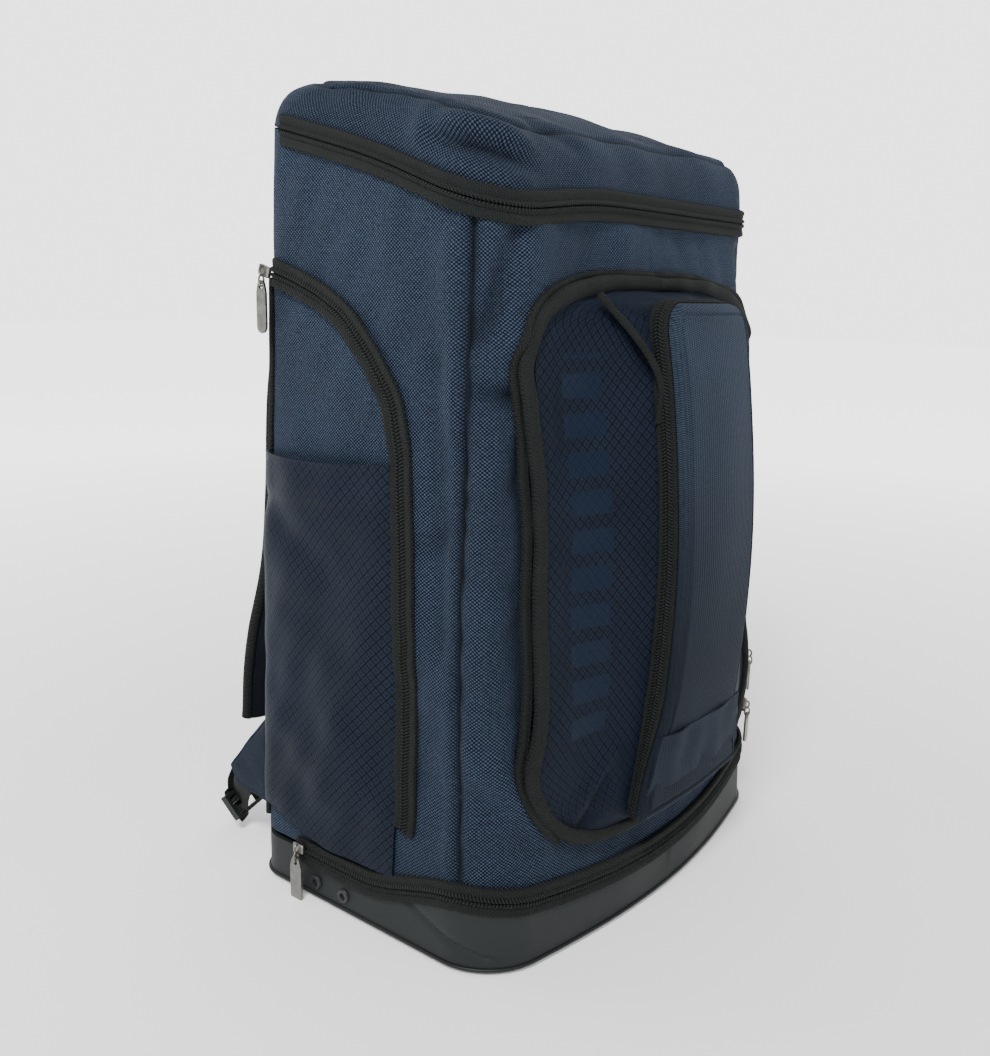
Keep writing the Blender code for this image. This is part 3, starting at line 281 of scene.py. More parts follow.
def relief(a, z, side):
    """How far the cloth stands off the plain form; a is the distance from the corner seam."""
    seed = 3 if side < 0 else 11
    height = 0.0016 * waves(a, z, 0.095, seed) + 0.0006 * waves(a, z, 0.032, seed + 1)
    gain, shift = (FOLD_GAIN, 0.0) if side < 0 else (FOLD_GAIN_RIGHT, 0.006)
    rows = [(u0, v0 - shift, u1, v1 + shift, gain * amount, width) for u0, v0, u1, v1, amount, width in FOLDS]
    height = height + folds(a, z, rows)
    near = bell(a, 0.022) * step01((z - 0.07) / 0.04) * step01((0.36 - z) / 0.05)
    height = height + 0.0007 * near * np.sin(2 * math.pi * (z / 0.034 + 0.40 * waves(a, z, 0.07, seed + 2)))
    height = height - 0.0034 * np.exp(-(np.abs(a) / 0.0024) ** 1.6)
    return height + 0.0008 * bell(np.abs(a) - 0.0070, 0.0040)


def seam_shade(a):
    return 0.70 * bell(a, 0.0014) + 0.22 * bell(a, 0.0050)


def seam_start(z):
    """Arc from the start of the corner to the seam between the side and front panels."""
    return FRONT_RADIUS * np.interp(z, (0.06, 0.185, 0.407), (0.33, 0.30, 0.54))


def side_arc(y, z):
    over = front_y(z) + FRONT_RADIUS - y
    turn = FRONT_RADIUS * np.arcsin(np.clip(over / FRONT_RADIUS, 0.0, 1.0))
    return np.where(over > 0.0, turn, over) - seam_start(z)


def front_arc(x, z):
    over = np.abs(x) - (half_width(z) - FRONT_RADIUS)
    turn = FRONT_RADIUS * np.arcsin(np.clip(over / FRONT_RADIUS, 0.0, 1.0))
    return FRONT_RADIUS * math.pi / 2 - np.where(over > 0.0, turn, over) - seam_start(z)


def rim_fade(x, y, z):
    """The relief dies away at the zips round the base and the lid."""
    return step01((z - base_zip_z(x, y)) / 0.020) * step01((lid_zip_z(y) - z) / 0.016)


SECTIONS = (66, 30, 104, 30, 66, 12, 70, 12)
SECTION = np.concatenate([np.full(n, k) for k, n in enumerate(SECTIONS)])
SECTION_T = np.concatenate([np.arange(n) / n for n in SECTIONS])


def ring(z, inset=0.0, back_radius=BACK_RADIUS):
    """Points round the bag from the back of the left side; z has a value for each column."""
    wide, front, back = half_width(z) - inset, front_y(z) + inset, BACK_Y - inset
    rf = np.maximum(FRONT_RADIUS - inset, 0.002)
    rb = np.maximum(back_radius - inset, 0.002)
    t = SECTION_T
    turn = math.pi / 2 * t
    choices = (
        (-wide, back - rb + (front + rf - back + rb) * t),
        (-wide + rf - rf * np.cos(turn), front + rf - rf * np.sin(turn)),
        ((wide - rf) * (2 * t - 1), front + 0 * t),
        (wide - rf + rf * np.sin(turn), front + rf - rf * np.cos(turn)),
        (wide + 0 * t, front + rf + (back - rb - front - rf) * t),
        (wide - rb + rb * np.cos(turn), back - rb + rb * np.sin(turn)),
        ((wide - rb) * (1 - 2 * t), back + 0 * t),
        (-wide + rb - rb * np.sin(turn), back - rb + rb * np.cos(turn)))
    x = np.select([SECTION == k for k in range(8)], [c[0] + 0 * z for c in choices])
    y = np.select([SECTION == k for k in range(8)], [c[1] + 0 * z for c in choices])
    return x, y


def ring_arc(x, y, z):
    """Distance from the nearer corner seam for a point of the ring."""
    on_front = y < front_y(z) + FRONT_RADIUS * 0.3
    return np.where(on_front, front_arc(x, z), side_arc(y, z))


# ---------------------------------------------------------------- meshes
def add_object(name, mesh):
    item = bpy.data.objects.new(name, mesh)
    bpy.context.scene.collection.objects.link(item)
    return item


def make(name, verts, groups, material, sharp=40.0, crease=None):
    """Mesh object; groups hold arrays of faces and of their corners' pairs in metres."""
    verts = np.asarray(verts, float)
    middle = verts.mean(axis=0)
    volume = 0.0
    for faces, _ in groups:
        corners = verts[faces] - middle
        for k in range(1, faces.shape[1] - 1):
            volume += np.einsum("ij,ij->", corners[:, 0], np.cross(corners[:, k], corners[:, k + 1]))
    if volume < 0.0:
        groups = [(faces[:, ::-1], uvs[:, ::-1]) for faces, uvs in groups]
    flat = np.concatenate([faces.ravel() for faces, _ in groups])
    pairs = np.concatenate([uvs.reshape(-1, 2) for _, uvs in groups])
    sizes = np.concatenate([np.full(len(faces), faces.shape[1]) for faces, _ in groups])
    used, index = np.unique(flat, return_inverse=True)
    mesh = bpy.data.meshes.new(name)
    mesh.vertices.add(len(used))
    mesh.vertices.foreach_set("co", verts[used].astype(np.float32).ravel())
    mesh.loops.add(len(flat))
    mesh.loops.foreach_set("vertex_index", index.astype(np.int32).ravel())
    mesh.polygons.add(len(sizes))
    starts = np.concatenate([[0], np.cumsum(sizes)[:-1]]).astype(np.int32)
    mesh.polygons.foreach_set("loop_start", starts)
    layer = mesh.uv_layers.new(name="uv")
    layer.data.foreach_set("uv", pairs.astype(np.float32).ravel())
    mesh.update(calc_edges=True)
    # The crease attribute holds painted shade: where it is 1 the colour turns to the material's near-black
    # crease colour.
    if crease is not None:
        shade = mesh.attributes.new("crease", "FLOAT", "POINT")
        shade.data.foreach_set("value", np.asarray(crease, np.float32)[used])
    mesh.validate()
    mesh.shade_smooth()
    mesh.set_sharp_from_angle(angle=math.radians(sharp))
    mesh.materials.append(material)
    return add_object(name, mesh)


def dress(piece, slot, *nodes):
    """Hide the CAD nodes that the piece stands in for; the piece and the slot are not used."""
    if nodes:
        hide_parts(*nodes)


def mount(piece, body, slot, *nodes):
    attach(piece, body)
    dress(piece, slot, *nodes)


def grid_corners(rows, columns, wrap):
    """Row and column of the four corners of every face; a wrapped column runs one past the last."""
    r = np.arange(rows - 1)[:, None, None]
    c = np.arange(columns if wrap else columns - 1)[None, :, None]
    r, c = r + np.array([0, 0, 1, 1]), c + np.array([0, 1, 1, 0])
    r, c = np.broadcast_arrays(r, c)
    return r.reshape(-1, 4), c.reshape(-1, 4)


def cloth(name, outer, inner, u, v, material, wrap=False, keep=None, crease=None, **options):
    """Closed thin solid between two equal grids; keep marks the faces that stay."""
    rows, columns = outer.shape[:2]
    r, c = grid_corners(rows, columns, wrap)
    index = r * columns + c % columns
    uvs = np.stack([u[r, c], v[r, c]], axis=-1)
    if keep is not None:
        index, uvs = index[keep], uvs[keep]
    count = rows * columns
    edges, edge_uvs = [], []
    for k in range(4):
        edges.append(index[:, [k, (k + 1) % 4]])
        edge_uvs.append(uvs[:, [k, (k + 1) % 4]])
    edges, edge_uvs = np.concatenate(edges), np.concatenate(edge_uvs)
    ends = np.sort(edges, axis=1)
    _, first, times = np.unique(ends[:, 0] * count + ends[:, 1], return_index=True, return_counts=True)
    rim = first[times == 1]
    a, b = edges[rim, 0], edges[rim, 1]
    rim_faces = np.stack([b, a, a + count, b + count], axis=1)
    rim_uvs = edge_uvs[rim][:, [1, 0, 0, 1]]
    faces = np.concatenate([index, index[:, ::-1] + count, rim_faces])
    uvs = np.concatenate([uvs, uvs[:, ::-1], rim_uvs])
    verts = np.concatenate([outer.reshape(-1, 3), inner.reshape(-1, 3)])
    if crease is not None:
        crease = np.tile(np.clip(np.broadcast_to(crease, (rows, columns)), 0.0, 1.0).ravel(), 2)
    return make(name, verts, [(faces, uvs)], material, crease=crease, **options)


def lengths(points, wrap=False):
    """Running length along the second last axis, with one more entry when wrapped."""
    if wrap:
        points = np.concatenate([points, points[..., :1, :]], axis=-2)
    steps = np.linalg.norm(np.diff(points, axis=-2), axis=-1)
    zero = np.zeros(steps.shape[:-1] + (1,))
    return np.concatenate([zero, np.cumsum(steps, axis=-1)], axis=-1)


def looped(grid):
    """A grid with its first column once more at the end."""
    return np.concatenate([grid, grid[:, :1]], axis=1)


def around(line, rows):
    """Running length round a closed line, the same in every row."""
    length = lengths(line, wrap=True)
    return np.broadcast_to(length, (rows, len(length)))


def closed_line(outline, **steps):
    """Even points round a closed outline."""
    return along(np.concatenate([outline, outline[:1]]), **steps)[:-1]


def pipe(wide, tall, out=0.0, count=10):
    """Round profile, with its two radii and how far its middle stands out."""
    turn = np.arange(count) * math.pi / (count / 2)
    return [(wide * math.cos(t), out + tall * math.sin(t)) for t in turn]


def lattice(down, across):
    """Two full grids from the values down the rows and across the columns."""
    return np.meshgrid(down, across, indexing="ij")


def grid_normals(points, wrap=False):
    """Normals of a grid, from the differences along its rows and columns."""
    if wrap:
        across = np.roll(points, -1, axis=1) - np.roll(points, 1, axis=1)
    else:
        across = np.gradient(points, axis=1)
    return unit(np.cross(across, np.gradient(points, axis=0)))


def tangents(points, closed=False):
    if closed:
        return unit(np.roll(points, -1, axis=0) - np.roll(points, 1, axis=0))
    return unit(np.gradient(points, axis=0))


def band(name, points, normals, profile, material, closed=False, scale=None, wave=0.0, across=None,
         **options):
    """Strip swept along a line; profile holds (across, out) pairs and across is also its v.

    A single normal or a single across direction holds for the whole line.
    """
    if across is None:
        across = np.cross(tangents(points, closed), normals)
    side = unit(np.broadcast_to(np.asarray(across, float), points.shape))
    normals = np.broadcast_to(normals, points.shape)
    profile = np.asarray(profile, float)
    width = np.ones(len(points)) if scale is None else scale
    u = lengths(points, closed)
    lift = wave * waves(u[:len(points)], 0 * points[:, 0], 0.035, len(name))
    rows = []
    for w, out in profile:
        rows.append(points + side * (w * width)[:, None]
                    + normals * (out + lift * step01(out / 0.002))[:, None])
    grid = np.stack(rows + [rows[0]])
    count, columns = len(profile), len(points)
    r, c = grid_corners(count + 1, columns, closed)
    index = (r % count) * columns + c % columns
    v = np.append(profile[:, 0], profile[0, 0])
    uvs = np.stack([u[c], v[r]], axis=-1)
    verts = grid[:-1].reshape(-1, 3)
    groups = [(index, uvs)]
    if not closed:
        for column in (0, columns - 1):
            cap = (np.arange(count) * columns + column)[None, :]
            pairs = np.stack([np.full(count, u[column]), profile[:, 0]], axis=-1)[None]
            flip = -1 if column else 1
            groups.append((cap[:, ::flip], pairs[:, ::flip]))
    return make(name, verts, groups, material, **options)


# ---------------------------------------------------------------- materials
class Value:
    """A socket of a node tree; arithmetic on it adds math nodes."""

    def __init__(self, net, socket):
        self.net, self.socket = net, socket

    def __add__(self, other):
        return self.net.math("ADD", self, other)

    def __sub__(self, other):
        return self.net.math("SUBTRACT", self, other)

    def __rsub__(self, other):
        return self.net.math("SUBTRACT", other, self)

    def __mul__(self, other):
        return self.net.math("MULTIPLY", self, other)

    def __truediv__(self, other):
        return self.net.math("DIVIDE", self, other)


class Net:
    """A material's node tree, with short calls for the nodes it needs."""

    def __init__(self, name, roughness, sheen=0.0, tint=(0.35, 0.45, 0.65), metallic=0.0, specular=0.14):
        self.material = bpy.data.materials.new(name)
        self.material.use_nodes = True
        self.tree = self.material.node_tree
        self.inputs = self.tree.nodes["Principled BSDF"].inputs
        for key, value in (("Roughness", roughness), ("Metallic", metallic), ("Specular IOR Level", specular),
                           ("Sheen Weight", sheen), ("Sheen Roughness", 0.45), ("Sheen Tint", tint)):
            self.put(self.inputs[key], value)

    def put(self, socket, value):
        if isinstance(value, Value):
            self.tree.links.new(value.socket, socket)
        elif isinstance(value, tuple) and len(value) == 3 and socket.type == "RGBA":
            socket.default_value = (*value, 1.0)
        else:
            socket.default_value = value

    def add(self, kind, values, out=0, **props):
        """New node with the values at its inputs, by name or number; gives one of its outputs."""
        made = self.tree.nodes.new("ShaderNode" + kind)
        for key, value in props.items():
            setattr(made, key, value)
        for key, value in values.items():
            self.put(made.inputs[key], value)
        return Value(self, made.outputs[out])

    def math(self, operation, *values):
        return self.add("Math", dict(enumerate(values)), operation=operation)

    def sine(self, value):
        return self.math("SINE", value)

    def size(self, value):
        return self.math("ABSOLUTE", value)

    def line(self, value, gain, base):
        """value * gain + base"""
        return self.math("MULTIPLY_ADD", value, gain, base)

    def between(self, value, low, high):
        return self.math("GREATER_THAN", value, low) * self.math("LESS_THAN", value, high)

    def mix(self, factor, a, b):
        return self.add("Mix", {0: factor, 6: a, 7: b}, 2, data_type="RGBA")

    def uv(self):
        where = self.add("UVMap", {}, uv_map="uv")
        return where, *(self.add("SeparateXYZ", {0: where}, axis) for axis in (0, 1))

    def place(self):
        return self.add("TexCoord", {}, "Object")

    def noise(self, where, scale, detail=2.0):
        return self.add("TexNoise", {"Vector": where, "Scale": scale, "Detail": detail})

    def ramp(self, value, low, high):
        """0 to 1 as the value goes from low to high."""
        return self.add("MapRange", {"Value": value, "From Min": low, "From Max": high})

    def finish(self, colour, height=None, distance=0.0003, strength=1.0, roughness=None, crease=None):
        """Set the look; crease is the colour of painted shade, reached where the mesh's crease attribute is
        1.
        """
        if crease is not None:
            colour = self.mix(self.add("Attribute", {}, 2, attribute_name="crease"), colour, crease)
        self.put(self.inputs["Base Color"], colour)
        if roughness is not None:
            self.put(self.inputs["Roughness"], roughness)
        if height is not None:
            bump = {"Height": height, "Distance": distance, "Strength": strength}
            self.put(self.inputs["Normal"], self.add("Bump", bump))
        return self.material


def scaled(colour, factor):
    return tuple(channel * factor for channel in colour)


def weave(name, colour, width=1.12, row=0.96, contrast=1.0, sheen=0.06, depth=0.0004):
    """Two-tone weave of staggered light dashes on a dark ground; width and row are in millimetres."""
    net = Net(name, 0.85, sheen)
    where, u, v = net.uv()
    drift = (net.noise(where, 120.0) - 0.5) * 0.0011
    over = (net.sine((u + drift) * (math.pi * 1000.0 / width))
            * net.sine((v + drift) * (math.pi * 1000.0 / row)))
    patchy = net.ramp(net.noise(where, 14.0, 3.0), 0.3, 0.75)
    fibre = net.ramp(net.noise(where, 1100.0), 0.25, 0.8)
    yarn = net.ramp(net.noise(where, 420.0, 1.0), 0.25, 0.75)
    dash = net.ramp(net.line(yarn, 0.35, over - 0.17), -0.12, 0.55)
    tone = net.mix(dash, scaled(colour, 1.0 - 0.90 * contrast), scaled(colour, 1.0 + 2.05 * contrast))
    shade = net.line(patchy, 0.34, 0.80) * net.line(fibre, 0.45, 0.76)
    tone = net.mix(shade, (0.0, 0.0, 0.0), tone)
    # The crease colour is painted shade, a sixth of the cloth's colour.
    return net.finish(tone, net.line(fibre, 0.25, net.size(over)), depth, 0.8, crease=scaled(colour, 0.16))


def line_at(net, value, half, soft=0.03):
    """1 where the value is within half of a whole number, fading over soft."""
    return net.ramp(net.size(net.math("FRACT", value + 0.5) - 0.5), half + soft, half)


def ripstop(name, colour, bars=False):
    """Ripstop with dark crossed lines in diamonds and a small diamond in each."""
    net = Net(name, 0.52, 0.03, specular=0.07)
    where, u, v = net.uv()
    p, q = u / 0.0060 + v / 0.0066, u / 0.0060 - v / 0.0066
    lines = net.math("MAXIMUM", line_at(net, p, 0.040, 0.050), line_at(net, q, 0.040, 0.050))
    spot, core = (line_at(net, p + 0.5, half) * line_at(net, q + 0.5, half) for half in (0.13, 0.05))
    mark = net.math("MAXIMUM", lines, (spot - core) * 0.7)
    fine = net.sine(u * 9000.0) * net.sine(v * 9000.0)
    patchy = net.ramp(net.noise(where, 18.0, 3.0), 0.3, 0.7)
    ground = net.mix(patchy, colour, scaled(colour, 1.5))
    rough = net.line(patchy, 0.10, 0.50)
    if bars:
        inside = net.between(u, -0.047, -0.019) * net.between(v, 0.128, 0.338)
        bar = inside * net.math("LESS_THAN", net.math("FRACT", v / 0.0210), 0.62)
        ground = net.mix(bar, ground, (0.0036, 0.0088, 0.0215))
        rough = rough - bar * 0.22
        mark = mark * (1.0 - bar * 0.55)
    tone = net.mix(mark, ground, scaled(colour, 0.08))
    # The crease colour is painted shade, a fifth of the cloth's colour.
    return net.finish(tone, net.line(fine, 0.12, mark * 0.9), 0.00025, 0.7, rough, crease=scaled(colour, 0.2))


def ribbed(name, colour, pitch, teeth=0.0):
    """Ribbed tape; with teeth, a coil shows for that distance from v = 0."""
    net = Net(name, 0.85, 0.03, (0.5, 0.5, 0.45))
    where, u, v = net.uv()
    turn = 2 * math.pi / pitch
    height = net.line(net.sine((v + u * 0.6) * (turn * 0.8)), 0.5, net.sine(u * turn) * 0.5)
    worn = net.ramp(net.noise(where, 60.0, 3.0), 0.35, 0.75)
    tone = net.mix(net.ramp(height, -0.8, 0.9), scaled(colour, 0.55), scaled(colour, 1.9))
    tone = net.mix(worn * 0.35, tone, scaled(colour, 2.1))
    if teeth:
        away = net.size(v)
        inside = net.ramp(away, teeth + 0.0003, teeth)
        coil = net.sine((u + away * 0.5) * (2 * math.pi / 0.0019))
        tooth = net.mix(net.ramp(coil, -0.6, 0.8), scaled(colour, 0.25), scaled(colour, 2.6))
        tone = net.mix(inside, tone, tooth)
        height = (1.0 - inside) * height + inside * coil * 1.6
    return net.finish(tone, height, 0.00035, 0.9)


def coated(name, colour, roughness, grain=520.0, depth=0.0002):
    """Smooth coated fabric or moulding with a fine grain."""
    net = Net(name, roughness, 0.02, (0.6, 0.6, 0.6), specular=0.25)
    where = net.place()
    broad = net.ramp(net.noise(where, 16.0, 3.0), 0.3, 0.7)
    tone = net.mix(broad, scaled(colour, 0.86), scaled(colour, 1.18))
    return net.finish(tone, net.noise(where, grain, 3.0), depth, 0.5, net.line(broad, 0.12, roughness - 0.06))


def mesh_fabric(name, colour):
    """Knitted spacer mesh with round holes."""
    net = Net(name, 0.9, 0.05)
    cells = net.add("TexVoronoi", {"Vector": net.place(), "Scale": 330.0, "Randomness": 0.25}, feature="F1")
    hole = net.ramp(cells, 0.50, 0.25)
    return net.finish(net.mix(hole, scaled(colour, 1.5), scaled(colour, 0.3)), 1.0 - hole, 0.0006, 0.9)


def metal(name, colour, roughness):
    net = Net(name, roughness, metallic=1.0)
    where = net.place()
    worn = net.ramp(net.noise(where, 220.0, 4.0), 0.35, 0.7)
    tone = net.mix(worn, scaled(colour, 0.75), scaled(colour, 1.2))
    return net.finish(tone, net.noise(where, 900.0), 0.00008, 0.4, net.line(worn, 0.18, roughness - 0.08))


NAVY = (0.0122, 0.0196, 0.0345)
BLACK = (0.0066, 0.0078, 0.0078)
SHELL_CLOTH = weave("shell_weave", NAVY)
LID_CLOTH = weave("lid_weave", scaled(NAVY, 0.86))
FACE_CLOTH = weave("organiser_rib", (0.0140, 0.0216, 0.0350), width=2.2, row=0.62, contrast=0.55, sheen=0.08,
                   depth=0.0003)
TAB_CLOTH = weave("tab_weave", scaled(NAVY, 0.62), width=1.0, row=0.9, contrast=0.6)
STRAP_CLOTH = weave("strap_weave", (0.0060, 0.0100, 0.0165), width=0.7, row=0.7, contrast=0.5)
POCKET_CLOTH = ripstop("pocket_ripstop", (0.0060, 0.0092, 0.0172))
PANEL_CLOTH = ripstop("panel_ripstop", (0.0052, 0.0082, 0.0160), bars=True)
BINDING_TAPE = ribbed("binding_tape", BLACK, 0.0011)
ZIP_TAPE = ribbed("zip_tape", BLACK, 0.0014, teeth=0.0030)
LID_ZIP_TAPE = ribbed("lid_zip_tape", BLACK, 0.0011, teeth=0.0013)
PLAIN_TAPE = ribbed("plain_tape", scaled(BLACK, 0.9), 0.0014)
WEBBING = ribbed("webbing_weave", scaled(BLACK, 1.1), 0.0024)
COATED = coated("coated_base_fabric", (0.0100, 0.0124, 0.0130), 0.62)
STRIP = coated("coated_strip", (0.0085, 0.0098, 0.0100), 0.50, 800.0)
LINING = weave("lining_weave", (0.030, 0.032, 0.036), width=0.8, row=0.8, contrast=0.4)
BOARD = coated("board_grain", (0.055, 0.055, 0.057), 0.6, 200.0)
SPACER = mesh_fabric("spacer_knit", (0.0080, 0.0095, 0.0125))
PULL_METAL = metal("pull_metal_worn", (0.185, 0.180, 0.165), 0.40)
PLASTIC = coated("moulded_plastic", (0.017, 0.018, 0.019), 0.36, 300.0, 0.00008)


# ---------------------------------------------------------------- pack shell and lid
SIDE_CURVE = smooth(SIDE_ZIP, 14)
REAR_SEAM_Y = 0.0885


def zip_front_y(z):
    """The side window's front edge: the zip's curve, then straight down to the base."""
    return np.interp(z, SIDE_CURVE[::-1, 1], SIDE_CURVE[::-1, 0])


def shell_grid(rows, inset):
    low = np.full(len(SECTION), BASE_RIM_GUESS)
    high = np.full(len(SECTION), LID_RIM_GUESS)
    for _ in range(3):
        x, y = ring(low, inset)
        low = base_zip_z(x, y) + SPLIT
        x, y = ring(high, inset)
        high = lid_zip_z(y) - lid_sag(x, y) - SPLIT
    share = np.linspace(0.0, 1.0, rows)[:, None]
    z = low + (high - low) * share
    x, y = ring(z, inset)
    return x, y, z


def build_shell():
    rows = 150
    x, y, z = shell_grid(rows, 0.0)
    a = ring_arc(x, y, z)
    plain = stack(x, y - bulge(x, y, z), z)
    normals = grid_normals(plain, wrap=True)
    normals *= np.sign(np.einsum("ijk,ijk->ij", normals, stack(x, y, 0 * z)))[..., None]
    lift = np.where(x < 0, relief(a, z, -1), relief(a, z, 1)) * rim_fade(x, y, z)
    lift = lift * step01((BACK_Y - y) / 0.02)
    under_panel = (step01((0.1225 - np.abs(x)) / 0.006) * step01((0.376 - z) / 0.006)
                   * step01((z - 0.075) / 0.01) * (y < 0))
    lift = lift + under_panel * (np.minimum(lift, UNDER_PANEL) - lift)
    outer = plain + normals * lift[..., None]
    ix, iy, iz = shell_grid(rows, WALL)
    inner = stack(ix, iy - bulge(ix, iy, iz), iz) + normals * lift[..., None]
    u, v = around(plain[rows // 2], rows), looped(z)
    r, c = grid_corners(rows, len(SECTION), True)
    cy, cz = y[r, c % len(SECTION)].mean(axis=1), z[r, c % len(SECTION)].mean(axis=1)
    on_side = np.isin(SECTION[c[:, 0] % len(SECTION)], (0, 1, 3, 4, 5, 7))
    inside = on_side & (cy > zip_front_y(cz)) & (cy < REAR_SEAM_Y) & (cz < SIDE_ZIP[0][1])
    # Painted shade: darker in the corner seam's groove on the front half and wherever the relief sinks in.
    shade = seam_shade(a) * (y < 0.0) + np.clip(-lift - 0.0015, 0.0, 0.01) * 90.0
    piece = cloth("pack_shell", outer, inner, u, v, SHELL_CLOTH, wrap=True, keep=~inside, crease=shade)
    mount(piece, "pack", "navy_weave", "main_shell")


def build_lid():
    levels = along(smooth(LID_PROFILE, 12), count=34)
    rows = []
    for height, inset, back_radius in levels:
        z = np.full(len(SECTION), LID_RIM_GUESS)
        for _ in range(3):
            x, y = ring(z, inset, back_radius)
            z = lid_zip_z(y) + height
        x, y = ring(z, inset, back_radius)
        rear = np.clip((y - LID_DROP_START_Y) / (BACK_Y - LID_DROP_START_Y), 0.0, 1.0)
        sag = lid_sag(x, y) * (1.0 - step01(height / 0.036))
        top = lid_zip_z(y) + height * (1.0 - LID_REAR_DROP * rear) - sag
        rows.append(stack(x, y - bulge(x, y, z), top))
    shoulder = rows[-1]
    middle = np.array([0.0, (shoulder[:, 1].min() + shoulder[:, 1].max()) / 2])
    lengths_in = np.linspace(1.0, 0.0, 40)[1:]
    for k in lengths_in:
        scale = max(k, 0.004)
        x = shoulder[:, 0] * scale
        y = middle[1] + (shoulder[:, 1] - middle[1]) * scale
        plane = shoulder[:, 2] - LID_SLOPE * (shoulder[:, 1] - middle[1])
        plane = plane * scale ** 0.7 + plane.mean() * (1 - scale ** 0.7)
        rows.append(stack(x, y, plane + LID_SLOPE * (y - middle[1]) + LID_CROWN * (1 - scale ** 2)))
    plain = np.stack(rows)
    normals = grid_normals(plain, wrap=True)
    centre = np.array([0.0, 0.0, 0.40])
    normals *= np.sign(np.einsum("ijk,ijk->ij", normals, plain - centre))[..., None]
    count = len(SECTION)
    up = lengths(plain.transpose(1, 0, 2)).T
    x, y = plain[..., 0], plain[..., 1]
    a = ring_arc(x[0], y[0], np.full(count, LID_RIM_GUESS)) * np.where(x[0] < 0, 1.0, -1.0)
    a = np.broadcast_to(a, up.shape)
    fade = step01(up / 0.012)
    lift = (0.0014 * waves(x, y + up * 0.6, 0.085, 21) + 0.0005 * waves(x, y, 0.030, 22)) * fade
    seam = np.interp(0.034, levels[:, 0], up[:34].mean(axis=1))
    lift = lift - 0.0013 * bell(up - seam, 0.0018)
    lift = lift + 0.0005 * bell(up - seam - 0.0045, 0.0030)
    left = x < 0
    along_fold = (a - 0.004) / 0.027
    arch = 0.030 - 0.0050 * np.abs(along_fold) ** 2
    pinch = np.exp(-np.abs(along_fold) ** 3.0)
    lift = lift + left * pinch * 0.0052 * bell(up - arch - 0.0045, 0.0060)
    lift = lift - left * pinch * 0.0060 * bell(up - arch + 0.0055, 0.0048)
    lift = lift + left * pinch * 0.0026 * bell(up - 0.0135, 0.0045)
    lift = lift + left * 0.0026 * np.exp(-((a + 0.034) / 0.007) ** 2 - ((up - 0.024) / 0.009) ** 2)
    lift = lift - left * 0.0024 * bell(segment_distance(a, up, 0.044, 0.044, 0.074, 0.030), 0.0060)
    outer = plain + normals * lift[..., None]
    inner = outer - normals * WALL
    inner[0] = plain[0] - unit(normals[0] * np.array([1, 1, 0])) * WALL
    u, v, top = around(plain[8], len(plain)), looped(up), looped(plain)
    flat = np.arange(len(plain))[:, None] > 30
    u, v = np.where(flat, top[..., 0], u), np.where(flat, top[..., 1], v)
    # Painted shade: darker in the shoulder seam's groove and wherever the relief sinks in.
    shade = 0.75 * bell(up - seam, 0.0012) + np.clip(-lift - 0.0012, 0.0, 0.01) * 130.0
    piece = cloth("lid_cover", outer, inner, u, v, LID_CLOTH, wrap=True, crease=shade)
    mount(piece, "lid", "navy_weave", "lid_shell")


# ---------------------------------------------------------------- zips round the bag
HALF_ZIP = ((0.0003, 0.0004), (0.0003, 0.0026), (0.0012, 0.0033), (0.0022, 0.0030), (0.0030, 0.0019),
            (0.0046, 0.0022), (0.0066, 0.0028), (0.0080, 0.0024), (0.0086, 0.0010), (0.0084, 0.0003))
# the organiser's narrow tape, as shares of its width
ORG_HALF_ZIP = ((0.03, -0.0020), (0.03, 0.0012), (0.15, 0.0020), (0.34, 0.0017),
                (0.46, 0.0008), (0.70, 0.0014), (0.96, 0.0010), (0.98, -0.0020))


def perimeter_line(height, stop_y, z0):
    """Line round the bag at a height given by x and y, from the left rear over the front."""
    z = np.full(len(SECTION), z0)
    for _ in range(3):
        x, y = ring(z)
        z = height(x, y)
    x, y = ring(z)
    points = stack(x, y - bulge(x, y, z), z)
    chosen = np.isin(SECTION, (0, 1, 2, 3, 4)) & (y < stop_y)
    points = along(points[chosen], spacing=0.0024)
    flat = tangents(points)
    return points, unit(stack(flat[:, 1], -flat[:, 0], 0 * flat[:, 0]))


def build_round_zips():
    lid = (LID_ZIP_END_Y, LID_RIM_GUESS, LID_ZIP_TAPE, lambda x, y: lid_zip_z(y) - lid_sag(x, y))
    base = (BASE_ZIP_END_Y, BASE_RIM_GUESS, ZIP_TAPE, base_zip_z)
    for place, body, sign, (stop, z0, tape, height) in (("lid_{}_lower", "pack", -1, lid),
                                                        ("lid_{}_upper", "lid", 1, lid),
                                                        ("base_{}_lower", "base", -1, base),
                                                        ("base_{}_upper", "pack", 1, base)):
        points, normals = perimeter_line(height, stop, z0)
        profile = [(w * sign, out) for w, out in HALF_ZIP]
        piece = band(place.format("zip"), points, normals, profile, tape, across=(0.0, 0.0, 1.0))
        mount(piece, body, "webbing", place.format("tape"))


def build_hinge_tapes():
    """Strips of tape inside the back, which keep the lid and the base joined to the pack as they open."""
    back = BACK_Y - WALL
    for name, below, above, hinge_z, reach, turn in (
            ("lid_hinge_tape", "pack", "lid", 0.45908, 0.0125, 0.0055),
            ("base_hinge_tape", "base", "pack", 0.0290, 0.0075, 0.0035)):
        z, x = lattice(hinge_z + np.linspace(-reach, reach, 31), np.linspace(-0.122, 0.122, 50))
        outer = stack(x, back - 0.0003 + 0 * x, z)
        inner = stack(x, back - 0.0015 + 0 * x, z)
        piece = cloth(name, outer, inner, z, x, PLAIN_TAPE)
        low, high = (0.0, back, hinge_z - turn), (0.0, back, hinge_z + turn)
        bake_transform(piece)
        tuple(low)
        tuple(high)


build_shell()
build_lid()
build_round_zips()
build_hinge_tapes()


